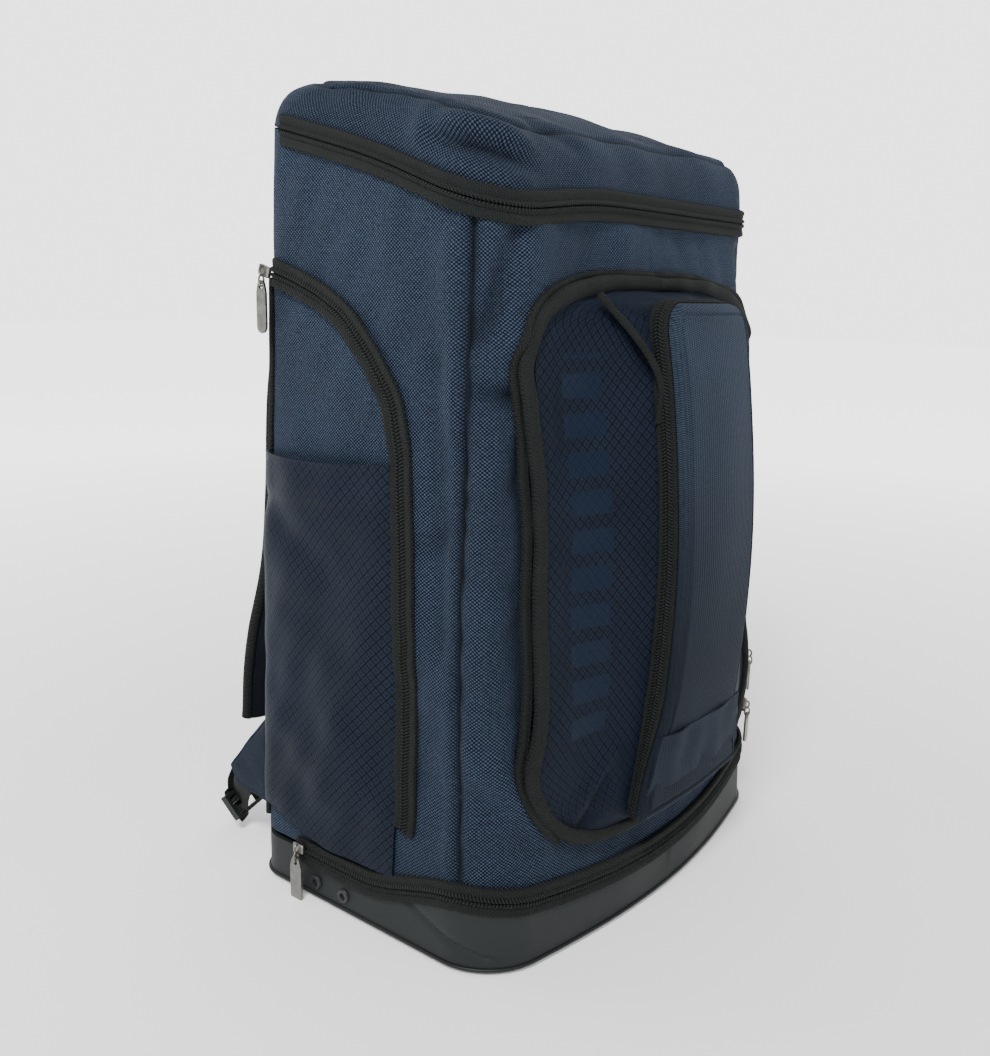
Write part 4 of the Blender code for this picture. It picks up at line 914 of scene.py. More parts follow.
# ---------------------------------------------------------------- sides
def side_sheet(side, y, z, out):
    """Points and normals on the side, out from the cloth's relief."""
    points, normals = side_surface(side, y, z), side_normal(side, y, z)
    lift = relief(side_arc(y, z), z, side) * rim_fade(0 * y + SIDE_X, y, z)
    return points + normals * (lift * step01((BACK_Y - y) / 0.02) + out)[..., None], normals


def fold_ends(side):
    """Two points either side of the side flap's fold line, across it."""
    (y0, z0), (y1, z1) = SIDE_ZIP[0], SIDE_ZIP[-1]
    length = math.hypot(y0 - y1, z0 - z1)
    away = np.array([-(z0 - z1), y0 - y1]) / length
    middle = np.array([(y0 + y1) / 2, (z0 + z1) / 2])
    x = side * float(half_width(middle[1]))
    return [(x, *(middle + away * reach)) for reach in (-0.012, 0.010)]


def on_flap(piece, word, side):
    start, end = fold_ends(side)
    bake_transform(piece)
    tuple(start)
    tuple(end)


def pocket_lift(y, z, front, back):
    across = np.sin(math.pi * np.clip((y - front) / (back - front), 0.0, 1.0))
    height = np.clip((z - 0.040) / 0.236, 0.0, 1.0)
    rise = np.sin(math.pi * np.minimum(0.10 + 0.62 * height, 1.0))
    return 0.0010 + 0.0085 * np.maximum(across, 0.0) ** 0.7 * rise


POCKET_FOLDS = ((0.080, 0.245, 0.030, 0.215, -0.0022, 0.010), (0.070, 0.110, 0.010, 0.070, 0.0016, 0.012))


def build_side_cloth(side, word):
    z, share = lattice(np.linspace(0.0325, SIDE_ZIP[0][1] - 0.0002, 118), np.linspace(0.0, 1.0, 46))
    front = zip_front_y(z) - 0.0006
    y = front + (REAR_SEAM_Y - front) * share
    z = np.maximum(z, base_zip_z(0 * y + SIDE_X, y) + SPLIT)
    outer, normals = side_sheet(side, y, z, 0.0)
    inner = outer - normals * WALL
    piece = cloth(f"side_cloth_{word}", outer, inner, y * side, z, SHELL_CLOTH)
    on_flap(piece, word, side)
    dress(piece, "navy_weave", f"side_flap_{word}")


def build_side_pocket(side, word):
    bottom, top = POCKET_Z
    z, share = lattice(np.linspace(0.0, 1.0, 84), np.linspace(0.0, 1.0, 44))
    z = bottom + (top - bottom) * z
    front = zip_front_y(z) + 0.0066
    back = 0.0872
    y = front + (back - front) * share
    slant = (0.008 * (share - 0.25) + 0.0045 * np.sin(math.pi * share)) * step01((z - 0.20) / 0.076)
    foot = 0.012 * step01((y - 0.02) / 0.06) * (1 - step01((z - 0.04) / 0.03))
    z = z + foot - slant * 0.4
    lift = pocket_lift(y, z, front, back + 0.003)
    seed = 31 if side < 0 else 37
    lift = lift + 0.0009 * waves(y, z, 0.070, seed) * step01((y - front) / 0.01)
    from_top = top - z - slant * 0.4
    below_hem = from_top - HEM_DEPTH
    lift = lift + 0.0007 * step01((0.0262 - from_top) / 0.0012) + 0.0006 * step01((0.003 - from_top) / 0.002)
    lift = lift - 0.0007 * bell(below_hem, 0.0010)
    lift = lift + folds(y, z, POCKET_FOLDS)
    outer, normals = side_sheet(side, y, z, np.maximum(lift, 0.0008) + 0.0014)
    inner = outer - normals * 0.0013
    # Painted shade: the crease darkens the groove below the hem.
    piece = cloth(f"side_pocket_{word}", outer, inner, y * side, z, POCKET_CLOTH,
                  crease=0.6 * bell(below_hem, 0.0011))
    on_flap(piece, word, side)
    dress(piece, "navy_ripstop", f"side_pocket_front_{word}", f"side_pocket_rear_{word}")


def build_side_zips(side, word):
    curve = along(SIDE_CURVE, spacing=0.0022)
    tangent = tangents(curve)
    away = np.stack([tangent[:, 1], -tangent[:, 0]], axis=1)
    away *= -np.sign(away[len(away) // 2, 0])
    for name, sign in (("outer", 1), ("inner", -1)):
        points, normals = side_sheet(side, curve[:, 0], curve[:, 1], 0.0004)
        across = unit(stack(0 * away[:, 0], away[:, 0], away[:, 1]))
        keep = slice(0, None) if sign > 0 else slice(1, -1)
        profile = [(w * sign * 0.94, out) for w, out in HALF_ZIP]
        piece = band(f"side_zip_{name}_{word}", points[keep], normals[keep], profile, ZIP_TAPE,
                     across=across[keep])
        if name == "outer":
            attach(piece, "pack")
        else:
            on_flap(piece, word, side)
        dress(piece, "webbing", f"side_tape_{name}_{word}")


def build_rear_piping(side, word):
    z = np.linspace(0.040, 0.374, 90)
    points, normals = side_sheet(side, 0 * z + REAR_SEAM_Y, z, 0.0)
    piece = band(f"rear_piping_{word}", points, normals, pipe(0.0034, 0.0022, 0.0008), PLAIN_TAPE)
    mount(piece, "pack", "webbing")


# ---------------------------------------------------------------- front panel
def left_of(loop):
    """Direction to the left of a closed loop in x and z, in its plane."""
    tangent = tangents(loop, closed=True)
    return np.stack([-tangent[:, 1], tangent[:, 0]], axis=1)


def panel_loop(inset):
    right = smooth(PANEL_OUTLINE, 12)
    left = right[1:-1][::-1] * np.array([-1.0, 1.0])
    loop = np.concatenate([right, left])
    return loop - left_of(loop) * inset


def organiser_half(z):
    flare = np.clip((ORG_FLARE_Z - z) / (ORG_FLARE_Z - ORG_BOTTOM_Z), 0.0, 1.0)
    return ORG_HALF_WIDTH + (ORG_FOOT_HALF_WIDTH - ORG_HALF_WIDTH) * flare ** 1.5


def organiser_front_y(z):
    curve = smooth(ORG_DEPTHS, 6)
    return front_surface(0.0 * z, z)[..., 1] - np.interp(z, curve[:, 0], curve[:, 1])


def organiser_half_loop(inset):
    """Right half of the organiser's outline, from the middle of its top to the middle of its foot."""
    top, bottom = ORG_TOP_Z - inset, ORG_BOTTOM_Z + inset
    radius, foot = ORG_CORNER - inset, ORG_FOOT_CORNER - inset
    turn = np.linspace(0.0, math.pi / 2, 12)
    x = [np.linspace(0.0, ORG_HALF_WIDTH - inset - radius, 12)[:-1],
         ORG_HALF_WIDTH - inset - radius + radius * np.sin(turn)]
    z = [np.full(11, top), top - radius + radius * np.cos(turn)]
    heights = np.linspace(top - radius, bottom + foot, 90)[1:-1]
    x.append(organiser_half(heights) - inset)
    z.append(heights)
    corner_x = organiser_half(bottom + foot) - inset - foot
    x.append(corner_x + foot * np.cos(turn))
    z.append(bottom + foot - foot * np.sin(turn))
    x.append(np.linspace(corner_x, 0.0, 22)[1:])
    z.append(np.full(21, bottom))
    return np.stack([np.concatenate(x), np.concatenate(z)], axis=1)


def mirrored(half):
    return np.concatenate([half, half[1:-1][::-1] * np.array([-1.0, 1.0])])


def organiser_level(x, z, level):
    start = front_surface(x, z)[..., 1] - (PANEL_INNER + PANEL_THICK + ORG_STAND)
    end = organiser_front_y(z) + ORG_WALL + 3 * GAP
    tape = np.minimum(ORG_TAPE, (start - end) / 3)
    return {0: start, 1: end + 2 * tape, 2: end + tape, 3: end}[level]


def resample(half, anchors, counts):
    """Points along half an outline with set counts between the points nearest the anchors."""
    picks = [0] + [int(np.argmin(np.hypot(*(half - np.array(a)).T))) for a in anchors] + [len(half) - 1]
    parts = [along(half[i:j + 1], count=n + 1)[:-1] for i, j, n in zip(picks, picks[1:], counts)]
    return np.concatenate(parts + [half[-1:]])


def build_panel_binding():
    loop = closed_line(panel_loop(BINDING_HALF), spacing=0.0026)
    points = front_surface(loop[:, 0], loop[:, 1])
    normals = front_normal(loop[:, 0], loop[:, 1])
    turn = np.arange(14) * 2 * math.pi / 14
    rim = [(BINDING_HALF * np.sign(math.cos(t)) * abs(math.cos(t)) ** 0.8, 0.0042 + 0.0038 * math.sin(t))
           for t in turn]
    u = lengths(points, True)[:-1]
    scale = 1.0 + 0.10 * waves(u, 0 * u, 0.05, 5)
    piece = band("panel_binding", points, normals, rim, BINDING_TAPE, closed=True, scale=scale, wave=0.0008)
    mount(piece, "front", "webbing", "front_binding")


def build_front_zip():
    """The pack's half of the front zip, which only shows beside part of the binding."""
    track = panel_loop(0.0)
    shown = step01((track[:, 1] - 0.115) / 0.03) * step01((0.300 - track[:, 1]) / 0.03)
    out = FRONT_TAPE_OUT * np.where(track[:, 0] < 0, 0.60 * shown, step01((track[:, 0] - 0.085) / 0.025))
    track = track + left_of(track) * out[:, None]
    right = track[(track[:, 0] >= 0) & (track[:, 1] > FRONT_TAPE_END_Z)]
    left = track[(track[:, 0] < 0) & (track[:, 1] > FRONT_TAPE_END_Z)]
    track = along(np.concatenate([left, right]), spacing=0.0024)
    points = front_surface(track[:, 0], track[:, 1])
    normals = front_normal(track[:, 0], track[:, 1])
    lift = relief(front_arc(track[:, 0], track[:, 1]), track[:, 1], -1)
    points = points + normals * np.maximum(lift, -0.001)[:, None]
    profile = ((-0.0030, 0.0004), (-0.0028, 0.0026), (-0.0012, 0.0032), (0.0004, 0.0028), (0.0016, 0.0020),
               (0.0030, 0.0022), (0.0034, 0.0008))
    piece = band("front_zip_tape", points, normals, profile, PLAIN_TAPE)
    mount(piece, "pack", "webbing", "front_tape")


PANEL_FOLDS = ((0.070, 0.112, 0.104, 0.078, 0.0030, 0.006), (0.074, 0.096, 0.098, 0.072, -0.0030, 0.005),
               (0.092, 0.338, 0.060, 0.350, 0.0012, 0.011), (0.113, 0.345, 0.103, 0.095, 0.0010, 0.007))


def build_panel_cloth():
    counts = (26, 120, 34)
    outline = panel_loop(0.0078)
    outline = outline[:len(smooth(PANEL_OUTLINE, 12))]
    edge = resample(outline, ((0.112, 0.352), (0.116, 0.090)), counts)
    inner_edge = resample(organiser_half_loop(0.0004), ((0.0395, 0.3585), (0.061, 0.071)), counts)
    edge, inner_edge = mirrored(edge), mirrored(inner_edge)
    rows = 30
    t = np.linspace(0.0, 1.0, rows)[:, None]
    x = edge[:, 0] + (inner_edge[:, 0] - edge[:, 0]) * t
    z = edge[:, 1] + (inner_edge[:, 1] - edge[:, 1]) * t
    top = organiser_level(inner_edge[:, 0], inner_edge[:, 1], 1)
    high = front_surface(inner_edge[:, 0], inner_edge[:, 1])[:, 1] - top - 0.0004
    gap = np.hypot(*(edge - inner_edge).T)
    power = 1.15 + 1.55 * step01((gap - 0.016) / 0.030)
    lift = 0.0050 + (high - 0.0050) * t ** power
    inside = step01(t / 0.15) * step01((1 - t) / 0.15)
    lift = lift + inside * 0.0018 * np.sin(math.pi * t) + inside * 0.0011 * waves(x, z, 0.06, 41)
    for side in (-1, 1):
        lift = lift + inside * folds(side * x, z, PANEL_FOLDS)
    surface = front_surface(x, z)
    outer = surface - lift[..., None] * np.array([0.0, 1.0, 0.0])
    inner = outer + np.array([0.0, 0.0016, 0.0])
    inner[..., 1] = np.minimum(inner[..., 1], surface[..., 1] - 0.0022)
    distance = lengths(outer.transpose(1, 0, 2)).T
    u = np.where(x < 0, -distance, distance)
    piece = cloth("front_panel_cloth", outer, inner, looped(u), looped(z), PANEL_CLOTH, wrap=True)
    mount(piece, "front", "navy_ripstop", "front_panel")


def build_organiser_zip():
    loop = mirrored(along(organiser_half_loop(0.0), count=150))
    x, z = loop.T
    away = left_of(loop)
    normals = stack(away[:, 0], 0 * x, away[:, 1])
    normals *= np.sign(np.einsum("ij,ij->i", normals, stack(x, 0 * x, z - 0.215)).mean())
    middle = organiser_level(x, z, 2)
    tape = organiser_level(x, z, 1) - middle
    points = stack(x, middle + GAP, z)
    for place, body, sign in (("rear", "front", 1), ("front", "organiser", -1)):
        profile = [(w * sign * ORG_TAPE, out) for w, out in ORG_HALF_ZIP]
        piece = band(f"organiser_zip_{place}", points, normals, profile, ZIP_TAPE, closed=True,
                     scale=tape / ORG_TAPE, across=(0.0, 1.0, 0.0))
        mount(piece, body, "webbing", f"organiser_tape_{place}")


def build_organiser_face():
    rows, columns = 150, 56
    z = ORG_BOTTOM_Z + (ORG_TOP_Z - ORG_BOTTOM_Z) * (1 - np.cos(np.linspace(0, math.pi, rows))) / 2
    wide = organiser_half(z)
    for radius, distance in ((ORG_CORNER, ORG_TOP_Z - z), (ORG_FOOT_CORNER, z - ORG_BOTTOM_Z)):
        cut = np.maximum(radius - distance, 0.0)
        rounding = radius - np.sqrt(np.maximum(radius ** 2 - cut ** 2, 0.0))
        wide = wide - np.where(distance < radius, rounding, 0.0)
    u = np.sin(np.linspace(-math.pi / 2, math.pi / 2, columns))[None, :]
    x, z = wide[:, None] * u, z[:, None] + 0 * u
    edge = np.minimum(np.minimum(wide[:, None] * (1 - np.abs(u)), ORG_TOP_Z - z), z - ORG_BOTTOM_Z)
    puff = 0.0046 * np.sqrt(np.clip(1 - (1 - np.clip(edge / 0.0075, 0, 1)) ** 2, 0, 1)) - 0.0030
    crown = 0.0030 * (1 - u * u) + 0.0007 * waves(x, z, 0.08, 51) * step01(edge / 0.012)
    groove = -0.0012 * bell(edge - 0.0062, 0.0009)
    y = organiser_front_y(z) - puff - crown - groove
    outer = stack(x, y, z)
    inner = stack(x, organiser_front_y(z) + ORG_WALL, z)
    # Painted shade: the face darkens towards its foot, where it turns down away from the light.
    painted_foot_shade = 0.78 * step01((0.345 - z) / 0.20)
    piece = cloth("organiser_front", outer, inner, x, z, FACE_CLOTH, crease=painted_foot_shade)
    mount(piece, "organiser", "navy_twill", "organiser_face")


def build_foot_band():
    low, high = FOOT_BAND_Z
    share, u = lattice(np.linspace(0, 1, 16), np.linspace(-1.0, 1.0, 40))
    z = low + (high - low) * share
    x = (organiser_half(z) - 0.0012) * u + 0.0022 * step01((u - 0.8) / 0.2)
    out = 0.0016 + 0.0030 * (1 - u * u) + 0.0010 * np.sin(math.pi * (z - low) / (high - low))
    out = out + 0.0011 * waves(x, z, 0.034, 61)
    y = organiser_front_y(z) - out - 0.0008 * step01((z - high + 0.004) / 0.003)
    outer = stack(x, y, z)
    inner = outer + np.array([0.0, 0.0014, 0.0])
    # Painted shade: the band's colour is darkened evenly, as the face's foot is.
    piece = cloth("organiser_foot_band", outer, inner, x, z, FACE_CLOTH, crease=0.55 + 0 * z)
    mount(piece, "organiser", "navy_twill", "organiser_band")


def build_organiser_lining():
    """Sheet behind the organiser, which closes it when its face is opened."""
    loop = mirrored(along(organiser_half_loop(ORG_WALL * 0.5), count=90))
    middle = np.array([0.0, ORG_MIDDLE_Z])
    grid = middle + (loop - middle) * np.linspace(1.0, 0.02, 24)[:, None, None]
    x, z = grid[..., 0], grid[..., 1]
    outer = front_surface(x, z) - np.array([0.0, 0.0090, 0.0])
    inner = outer + np.array([0.0, 0.0010, 0.0])
    piece = cloth("organiser_lining", outer, inner, looped(x), looped(z), LINING, wrap=True)
    mount(piece, "front", "lining")


def build_gusset():
    loop = mirrored(along(organiser_half_loop(ORG_WALL), count=90))
    x, z = loop.T
    back = organiser_level(x, z, 0) + 0.001
    front = organiser_level(x, z, 1)
    share = np.linspace(0, 1, 8)[:, None]
    outer = stack(x + 0 * share, back + (front - back) * share, z + 0 * share)
    shrink = stack(x * 0.965, back + (front - back) * share, (z - ORG_MIDDLE_Z) * 0.99 + ORG_MIDDLE_Z)
    u, v = around(outer[0], len(outer)), looped(outer[..., 1])
    piece = cloth("organiser_gusset", outer, shrink, u, v, LINING, wrap=True)
    mount(piece, "front", "navy_twill", "organiser_wall")


def build_wing():
    """Gusset flap beside the organiser, with a bound free edge over a slit pocket."""
    far = np.array([-0.0745, 0.3690])
    near_top, near_low = np.array([-0.0462, 0.354]), np.array([-0.0458, 0.300])
    s = np.linspace(0.0, 1.0, 40)[:, None, None]
    t = np.linspace(0.0, 1.0, 22)[None, :, None]
    free = far + (near_low - far) * s + np.array([0.010, -0.004]) * np.sin(math.pi * s)
    held = (far + (near_top - far) * np.minimum(s * 2.2, 1.0)
            + (near_low - near_top) * np.maximum(s * 2.2 - 1.0, 0) / 1.2)
    xz = free + (held - free) * t
    x, z = xz[..., 0], xz[..., 1]
    high = front_surface(0 * z + x, z)[..., 1] - (organiser_level(x, z, 1) - 0.001)
    reach = np.clip((-x - 0.0455) / 0.036, 0.0, 1.0)
    lift = (high * (1 - reach ** 1.2) + 0.0095 * reach ** 1.2
            + 0.0050 * np.sin(math.pi * s[..., 0]) * (1 - t[..., 0]))
    outer = front_surface(x, z) - lift[..., None] * np.array([0.0, 1.0, 0.0])
    inner = outer + np.array([0.0, 0.0014, 0.0])
    piece = cloth("organiser_wing", outer, inner, x, z, PANEL_CLOTH)
    mount(piece, "front", "navy_ripstop")
    line, out = along(outer[:, 0], spacing=0.0022), unit(np.array([-0.35, -0.94, 0.0]))
    piece = band("wing_binding", line, out, pipe(0.0022, 0.0017, 0.0004), BINDING_TAPE)
    mount(piece, "front", "webbing")


# ---------------------------------------------------------------- base
def build_base():
    rows = [(0.0012, 0.0060), (0.0, 0.0040), (0.0006, 0.0016), (0.0022, 0.0004)]
    levels = []
    for z0, inset in rows:
        x, y = ring(np.full(len(SECTION), z0), inset)
        levels.append(stack(x, y - bulge(x, y, z0), z0 + 0 * x))
    rim = np.full(len(SECTION), BASE_RIM_GUESS)
    for _ in range(3):
        x, y = ring(rim)
        rim = base_zip_z(x, y) - SPLIT
    low = 0.0040
    for share in np.linspace(0.0, 1.0, 22):
        z = low + (rim - low) * share
        x, y = ring(z)
        a = ring_arc(x, y, z + 0.02)
        crease = -0.0016 * bell(segment_distance(a, z, -0.050, 0.034, 0.020, 0.008), 0.0016) * (x < 0)
        lift = 0.0009 * waves(a + 2 * (x > 0), z, 0.07, 71) * math.sin(math.pi * share) + crease
        p = stack(x, y - bulge(x, y, z), z)
        away = unit(stack(x, y + 0.0, 0 * z)) * lift[:, None]
        levels.append(p + away)
    outer = np.stack(levels)
    floor_ring = outer[0].copy()
    shrink = []
    for k in np.linspace(0.94, 0.02, 14):
        shrink.append(floor_ring * np.array([k, k, 1.0]) + np.array([0, 0, 0.0004]))
    outer = np.concatenate([np.stack(shrink[::-1]), outer])
    inner = outer.copy()
    body = len(shrink)
    inner[:body] += np.array([0.0, 0.0, 0.0030])
    inner[body:, :, 0] *= 0.981
    inner[body:, :, 1] *= 0.968
    inner[body:, :, 2] = np.maximum(inner[body:, :, 2], 0.0034)
    inner[-1, :, 2] = outer[-1, :, 2]
    u, v = around(outer[-1], len(outer)), looped(outer[..., 2])
    piece = cloth("base_shell", outer, inner, u, v, COATED, wrap=True)
    mount(piece, "base", "coated_base", "base_tray")


def build_base_piping():
    x, y = ring(np.full(len(SECTION), 0.0030))
    line = stack(x, y - bulge(x, y, 0.003), 0 * x + 0.0034)
    line = closed_line(line, spacing=0.0035)
    out = tangents(line, True)
    out = unit(stack(out[:, 1], -out[:, 0], 0 * out[:, 0]))
    piece = band("base_piping", line, out, pipe(0.0011, 0.0011, 0.0002), STRIP, closed=True)
    mount(piece, "base", "coated_base")


build_base()
build_base_piping()
for side, word in SIDES:
    build_side_cloth(side, word)
    build_side_pocket(side, word)
    build_side_zips(side, word)
    build_rear_piping(side, word)
build_panel_binding()
build_front_zip()
build_panel_cloth()
build_organiser_zip()
build_organiser_face()
build_foot_band()
build_organiser_lining()
build_gusset()
build_wing()


# ---------------------------------------------------------------- back panel, by cloth simulation
def inflate(piece, voxel, pressure, cap):
    """Let a pad swell as cloth under pressure, and keep its points within cap of where they were."""
    remesh = piece.modifiers.new("remesh", "REMESH")
    remesh.mode = "VOXEL"
    remesh.voxel_size = voxel
    bake_modifiers(piece)
    count = len(piece.data.vertices)
    start = np.empty(count * 3, np.float32)
    piece.data.vertices.foreach_get("co", start)
    start = start.reshape(-1, 3)
    held = piece.vertex_groups.new(name="held")
    held.add([int(i) for i in np.nonzero(start[:, 1] < BACK_Y + 0.0016)[0]], 1.0, "REPLACE")
    cloth_modifier = piece.modifiers.new("cloth", "CLOTH")
    settings = cloth_modifier.settings
    settings.quality = 5
    settings.mass = 0.3
    settings.use_pressure = True
    settings.uniform_pressure_force = pressure
    settings.vertex_group_mass = "held"
    settings.tension_stiffness = settings.compression_stiffness = 22.0
    settings.effector_weights.gravity = 0.0
    cloth_modifier.collision_settings.use_collision = False
    scene = bpy.context.scene
    for number in range(1, CLOTH_FRAMES + 1):
        scene.frame_set(number)
    evaluated = piece.evaluated_get(bpy.context.evaluated_depsgraph_get())
    moved = np.empty(count * 3, np.float32)
    evaluated.data.vertices.foreach_get("co", moved)
    step = moved.reshape(-1, 3) - start
    size = np.linalg.norm(step, axis=1, keepdims=True)
    step *= np.minimum(1.0, cap / np.maximum(size, 1e-9))
    piece.modifiers.remove(cloth_modifier)
    piece.vertex_groups.clear()
    scene.frame_set(1)
    return start + step


def bake_modifiers(piece):
    graph = bpy.context.evaluated_depsgraph_get()
    mesh = bpy.data.meshes.new_from_object(piece.evaluated_get(graph))
    piece.modifiers.clear()
    old = piece.data
    piece.data = mesh
    bpy.data.meshes.remove(old)


def pad_half(z):
    heights, halves = np.array([(row[0], row[1]) for row in BACK_PAD]).T
    return np.interp(z, heights, halves)


CLOTH_FRAMES = 20
CHANNEL_HALF = 0.0135       # half width of the air channel down the back
PAD_SEAMS = (0.158, 0.252, 0.338)


def build_back_pad(side, word):
    z, t = lattice(np.linspace(PAD_LOW_Z, PAD_HIGH_Z, 96), np.linspace(0.0, 1.0, 40))
    wide = pad_half(z) - 0.002
    x = side * (CHANNEL_HALF + (wide - CHANNEL_HALF) * t)
    edge = np.minimum(np.minimum(t, 1 - t) * (wide - CHANNEL_HALF),
                      np.minimum(z - PAD_LOW_Z, PAD_HIGH_Z - z))
    rise = np.sqrt(np.clip(1 - (1 - np.clip(edge / 0.016, 0, 1)) ** 2, 0, 1))
    outer = stack(x, BACK_Y + 0.0022 + 0.0072 * rise, z)
    inner = stack(x, BACK_Y + 0.0006 + 0 * x, z)
    piece = cloth(f"back_pad_{word}", outer, inner, x, z, SPACER)
    points = inflate(piece, voxel=0.0045, pressure=4.0, cap=0.006)
    for seam in PAD_SEAMS:
        dent = bell(points[:, 2] - seam, 0.0035)
        proud = np.maximum(points[:, 1] - BACK_Y - 0.0030, 0.0)
        points[:, 1] -= 0.75 * dent * proud
    points[:, 1] = np.clip(points[:, 1], BACK_Y + 0.0006, BACK_Y + 0.0145)
    piece.data.vertices.foreach_set("co", points.astype(np.float32).ravel())
    piece.data.update()
    piece.data.shade_smooth()
    mount(piece, "pack", "spacer_mesh", "back_panel")


def build_back_ground():
    z, u = lattice(np.linspace(0.070, 0.414, 80), np.linspace(-1.0, 1.0, 60))
    x = (pad_half(z) + 0.003) * u
    outer = stack(x, BACK_Y + 0.0014 + 0.0003 * waves(x, z, 0.05, 81), z)
    inner = stack(x, BACK_Y + 0.0003 + 0 * x, z)
    piece = cloth("back_ground", outer, inner, x, z, SHELL_CLOTH)
    mount(piece, "pack", "navy_weave")
    edge = np.concatenate([outer[0], outer[1:, -1], outer[-1, ::-1][1:], outer[::-1, 0][1:-1]])
    profile = pipe(0.0026, 0.0016, 0.0006)
    piece = band("back_binding", edge, (0.0, 1.0, 0.0), profile, PLAIN_TAPE, closed=True)
    mount(piece, "pack", "webbing")


# ---------------------------------------------------------------- carrying gear
def rounded_strip(width, thick, power=0.45, count=28):
    profile = []
    for t in np.arange(count) * 2 * math.pi / count:
        c, s = math.cos(t), math.sin(t)
        profile.append((width / 2 * math.copysign(abs(c) ** power, c),
                        thick / 2 * math.copysign(abs(s) ** 0.75, s)))
    return profile


def webbing(width, thick):
    return rounded_strip(width, thick, 0.3, 20)


def strip_frame(path, across):
    """Normals and width directions for a strip along a path."""
    tangent = tangents(path)
    across = np.broadcast_to(np.asarray(across, float), path.shape)
    wide = unit(across - tangent * np.einsum("ij,ij->i", tangent, across)[:, None])
    return unit(np.cross(wide, tangent)), wide


def build_strap(side, word):
    body = f"strap_{word}"
    turn = np.array([side, 1.0, 1.0])
    path = along(smooth(np.array(STRAP_PATH) * turn, 12), spacing=0.004)
    normals, wide = strip_frame(path, (1.0, 0.0, 0.0))
    u = lengths(path)
    taper = 1.0 - 0.22 * step01((u - u[-1] + 0.07) / 0.07)
    pad = rounded_strip(STRAP_WIDTH - 0.004, STRAP_THICK + 0.001)
    piece = band(f"padded_strap_{word}", path, normals, pad, STRAP_CLOTH, scale=taper, across=wide,
                 sharp=70.0)
    mount(piece, body, "spacer_mesh", f"shoulder_strap_{word}")
    for edge in (-1, 1):
        line = path + wide * (edge * (STRAP_WIDTH / 2 - 0.0022) * taper)[:, None]
        place = "inner" if edge * side < 0 else "outer"
        piece = band(f"strap_edge_{word}_{place}", line, normals, pipe(0.0030, 0.0040, count=12),
                     PLAIN_TAPE, across=wide)
        mount(piece, body, "webbing")
    line = path[8:-8] + np.array([0.0, STRAP_THICK / 2 + 0.0008, 0.0])
    piece = band(f"strap_daisy_{word}", line, normals[8:-8], webbing(0.020, 0.0018), WEBBING,
                 across=wide[8:-8])
    mount(piece, body, "webbing")


def build_webs(side, word):
    body = f"strap_{word}"
    turn = np.array([side, 1.0, 1.0])
    web = along(smooth(np.array(STRAP_WEB + STRAP_WEB_END) * turn, 12), spacing=0.002)
    normals, wide = strip_frame(web, (1.0, -0.35 * side, 0.0))
    piece = band(f"adjuster_web_{word}", web, normals, webbing(0.0246, 0.0019), WEBBING, across=wide)
    mount(piece, body, "webbing", f"strap_web_{word}")

    low = along(smooth(np.array(LOWER_WEB + LOWER_WEB_END) * turn, 12), spacing=0.002)
    normals, wide = strip_frame(low, (0.0, 0.72, 0.69))
    piece = band(f"anchor_web_{word}", low, normals, webbing(0.0198, 0.0019), WEBBING, across=wide)
    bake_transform(piece)
    dress(piece, "webbing", f"lower_web_{word}")


def build_anchor(side, word):
    loop = closed_line(np.array(ANCHOR_TAB), count=91)
    centre = loop.mean(axis=0)
    shares = np.linspace(1.0, 0.02, 16)[:, None, None]
    grid = centre + (loop - centre) * shares
    puff = 0.0011 * (1 - shares[..., 0] ** 6) + 0.0003 * waves(grid[..., 0], grid[..., 1], 0.02, 91)
    puff = puff - 0.0006 * bell(shares[..., 0] - 0.86, 0.03)
    outer = stack(side * (0.1506 + puff), grid[..., 0], grid[..., 1])
    inner = stack(side * (0.1492 + 0 * puff), grid[..., 0], grid[..., 1])
    u, v = looped(grid[..., 0]), looped(grid[..., 1])
    piece = cloth(f"anchor_cloth_{word}", outer, inner, u, v, TAB_CLOTH, wrap=True)
    mount(piece, "pack", "navy_twill", f"anchor_tab_{word}")


def build_handle():
    half = np.array(HANDLE_HALF)
    path = along(smooth(np.concatenate([half * np.array([-1.0, 1.0, 1.0]), half[::-1]]), 10), spacing=0.002)
    tangent = tangents(path)
    outward = unit(np.broadcast_to([0.0, 1.0, 0.35], path.shape))
    wide = unit(np.cross(tangent, outward))
    normals = unit(np.cross(wide, tangent))
    u = lengths(path)
    grip = 1.0 + 0.25 * step01((u - 0.012) / 0.012) * step01((u[-1] - 0.012 - u) / 0.012)
    loop = rounded_strip(0.0068, 0.0044, 0.7, 16)
    piece = band("haul_loop", path, normals, loop, WEBBING, scale=grip, across=wide)
    mount(piece, "handle", "webbing", "haul_handle")


# ---------------------------------------------------------------- inside
def box_of(node):
    return (np.array(corner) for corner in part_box(node))


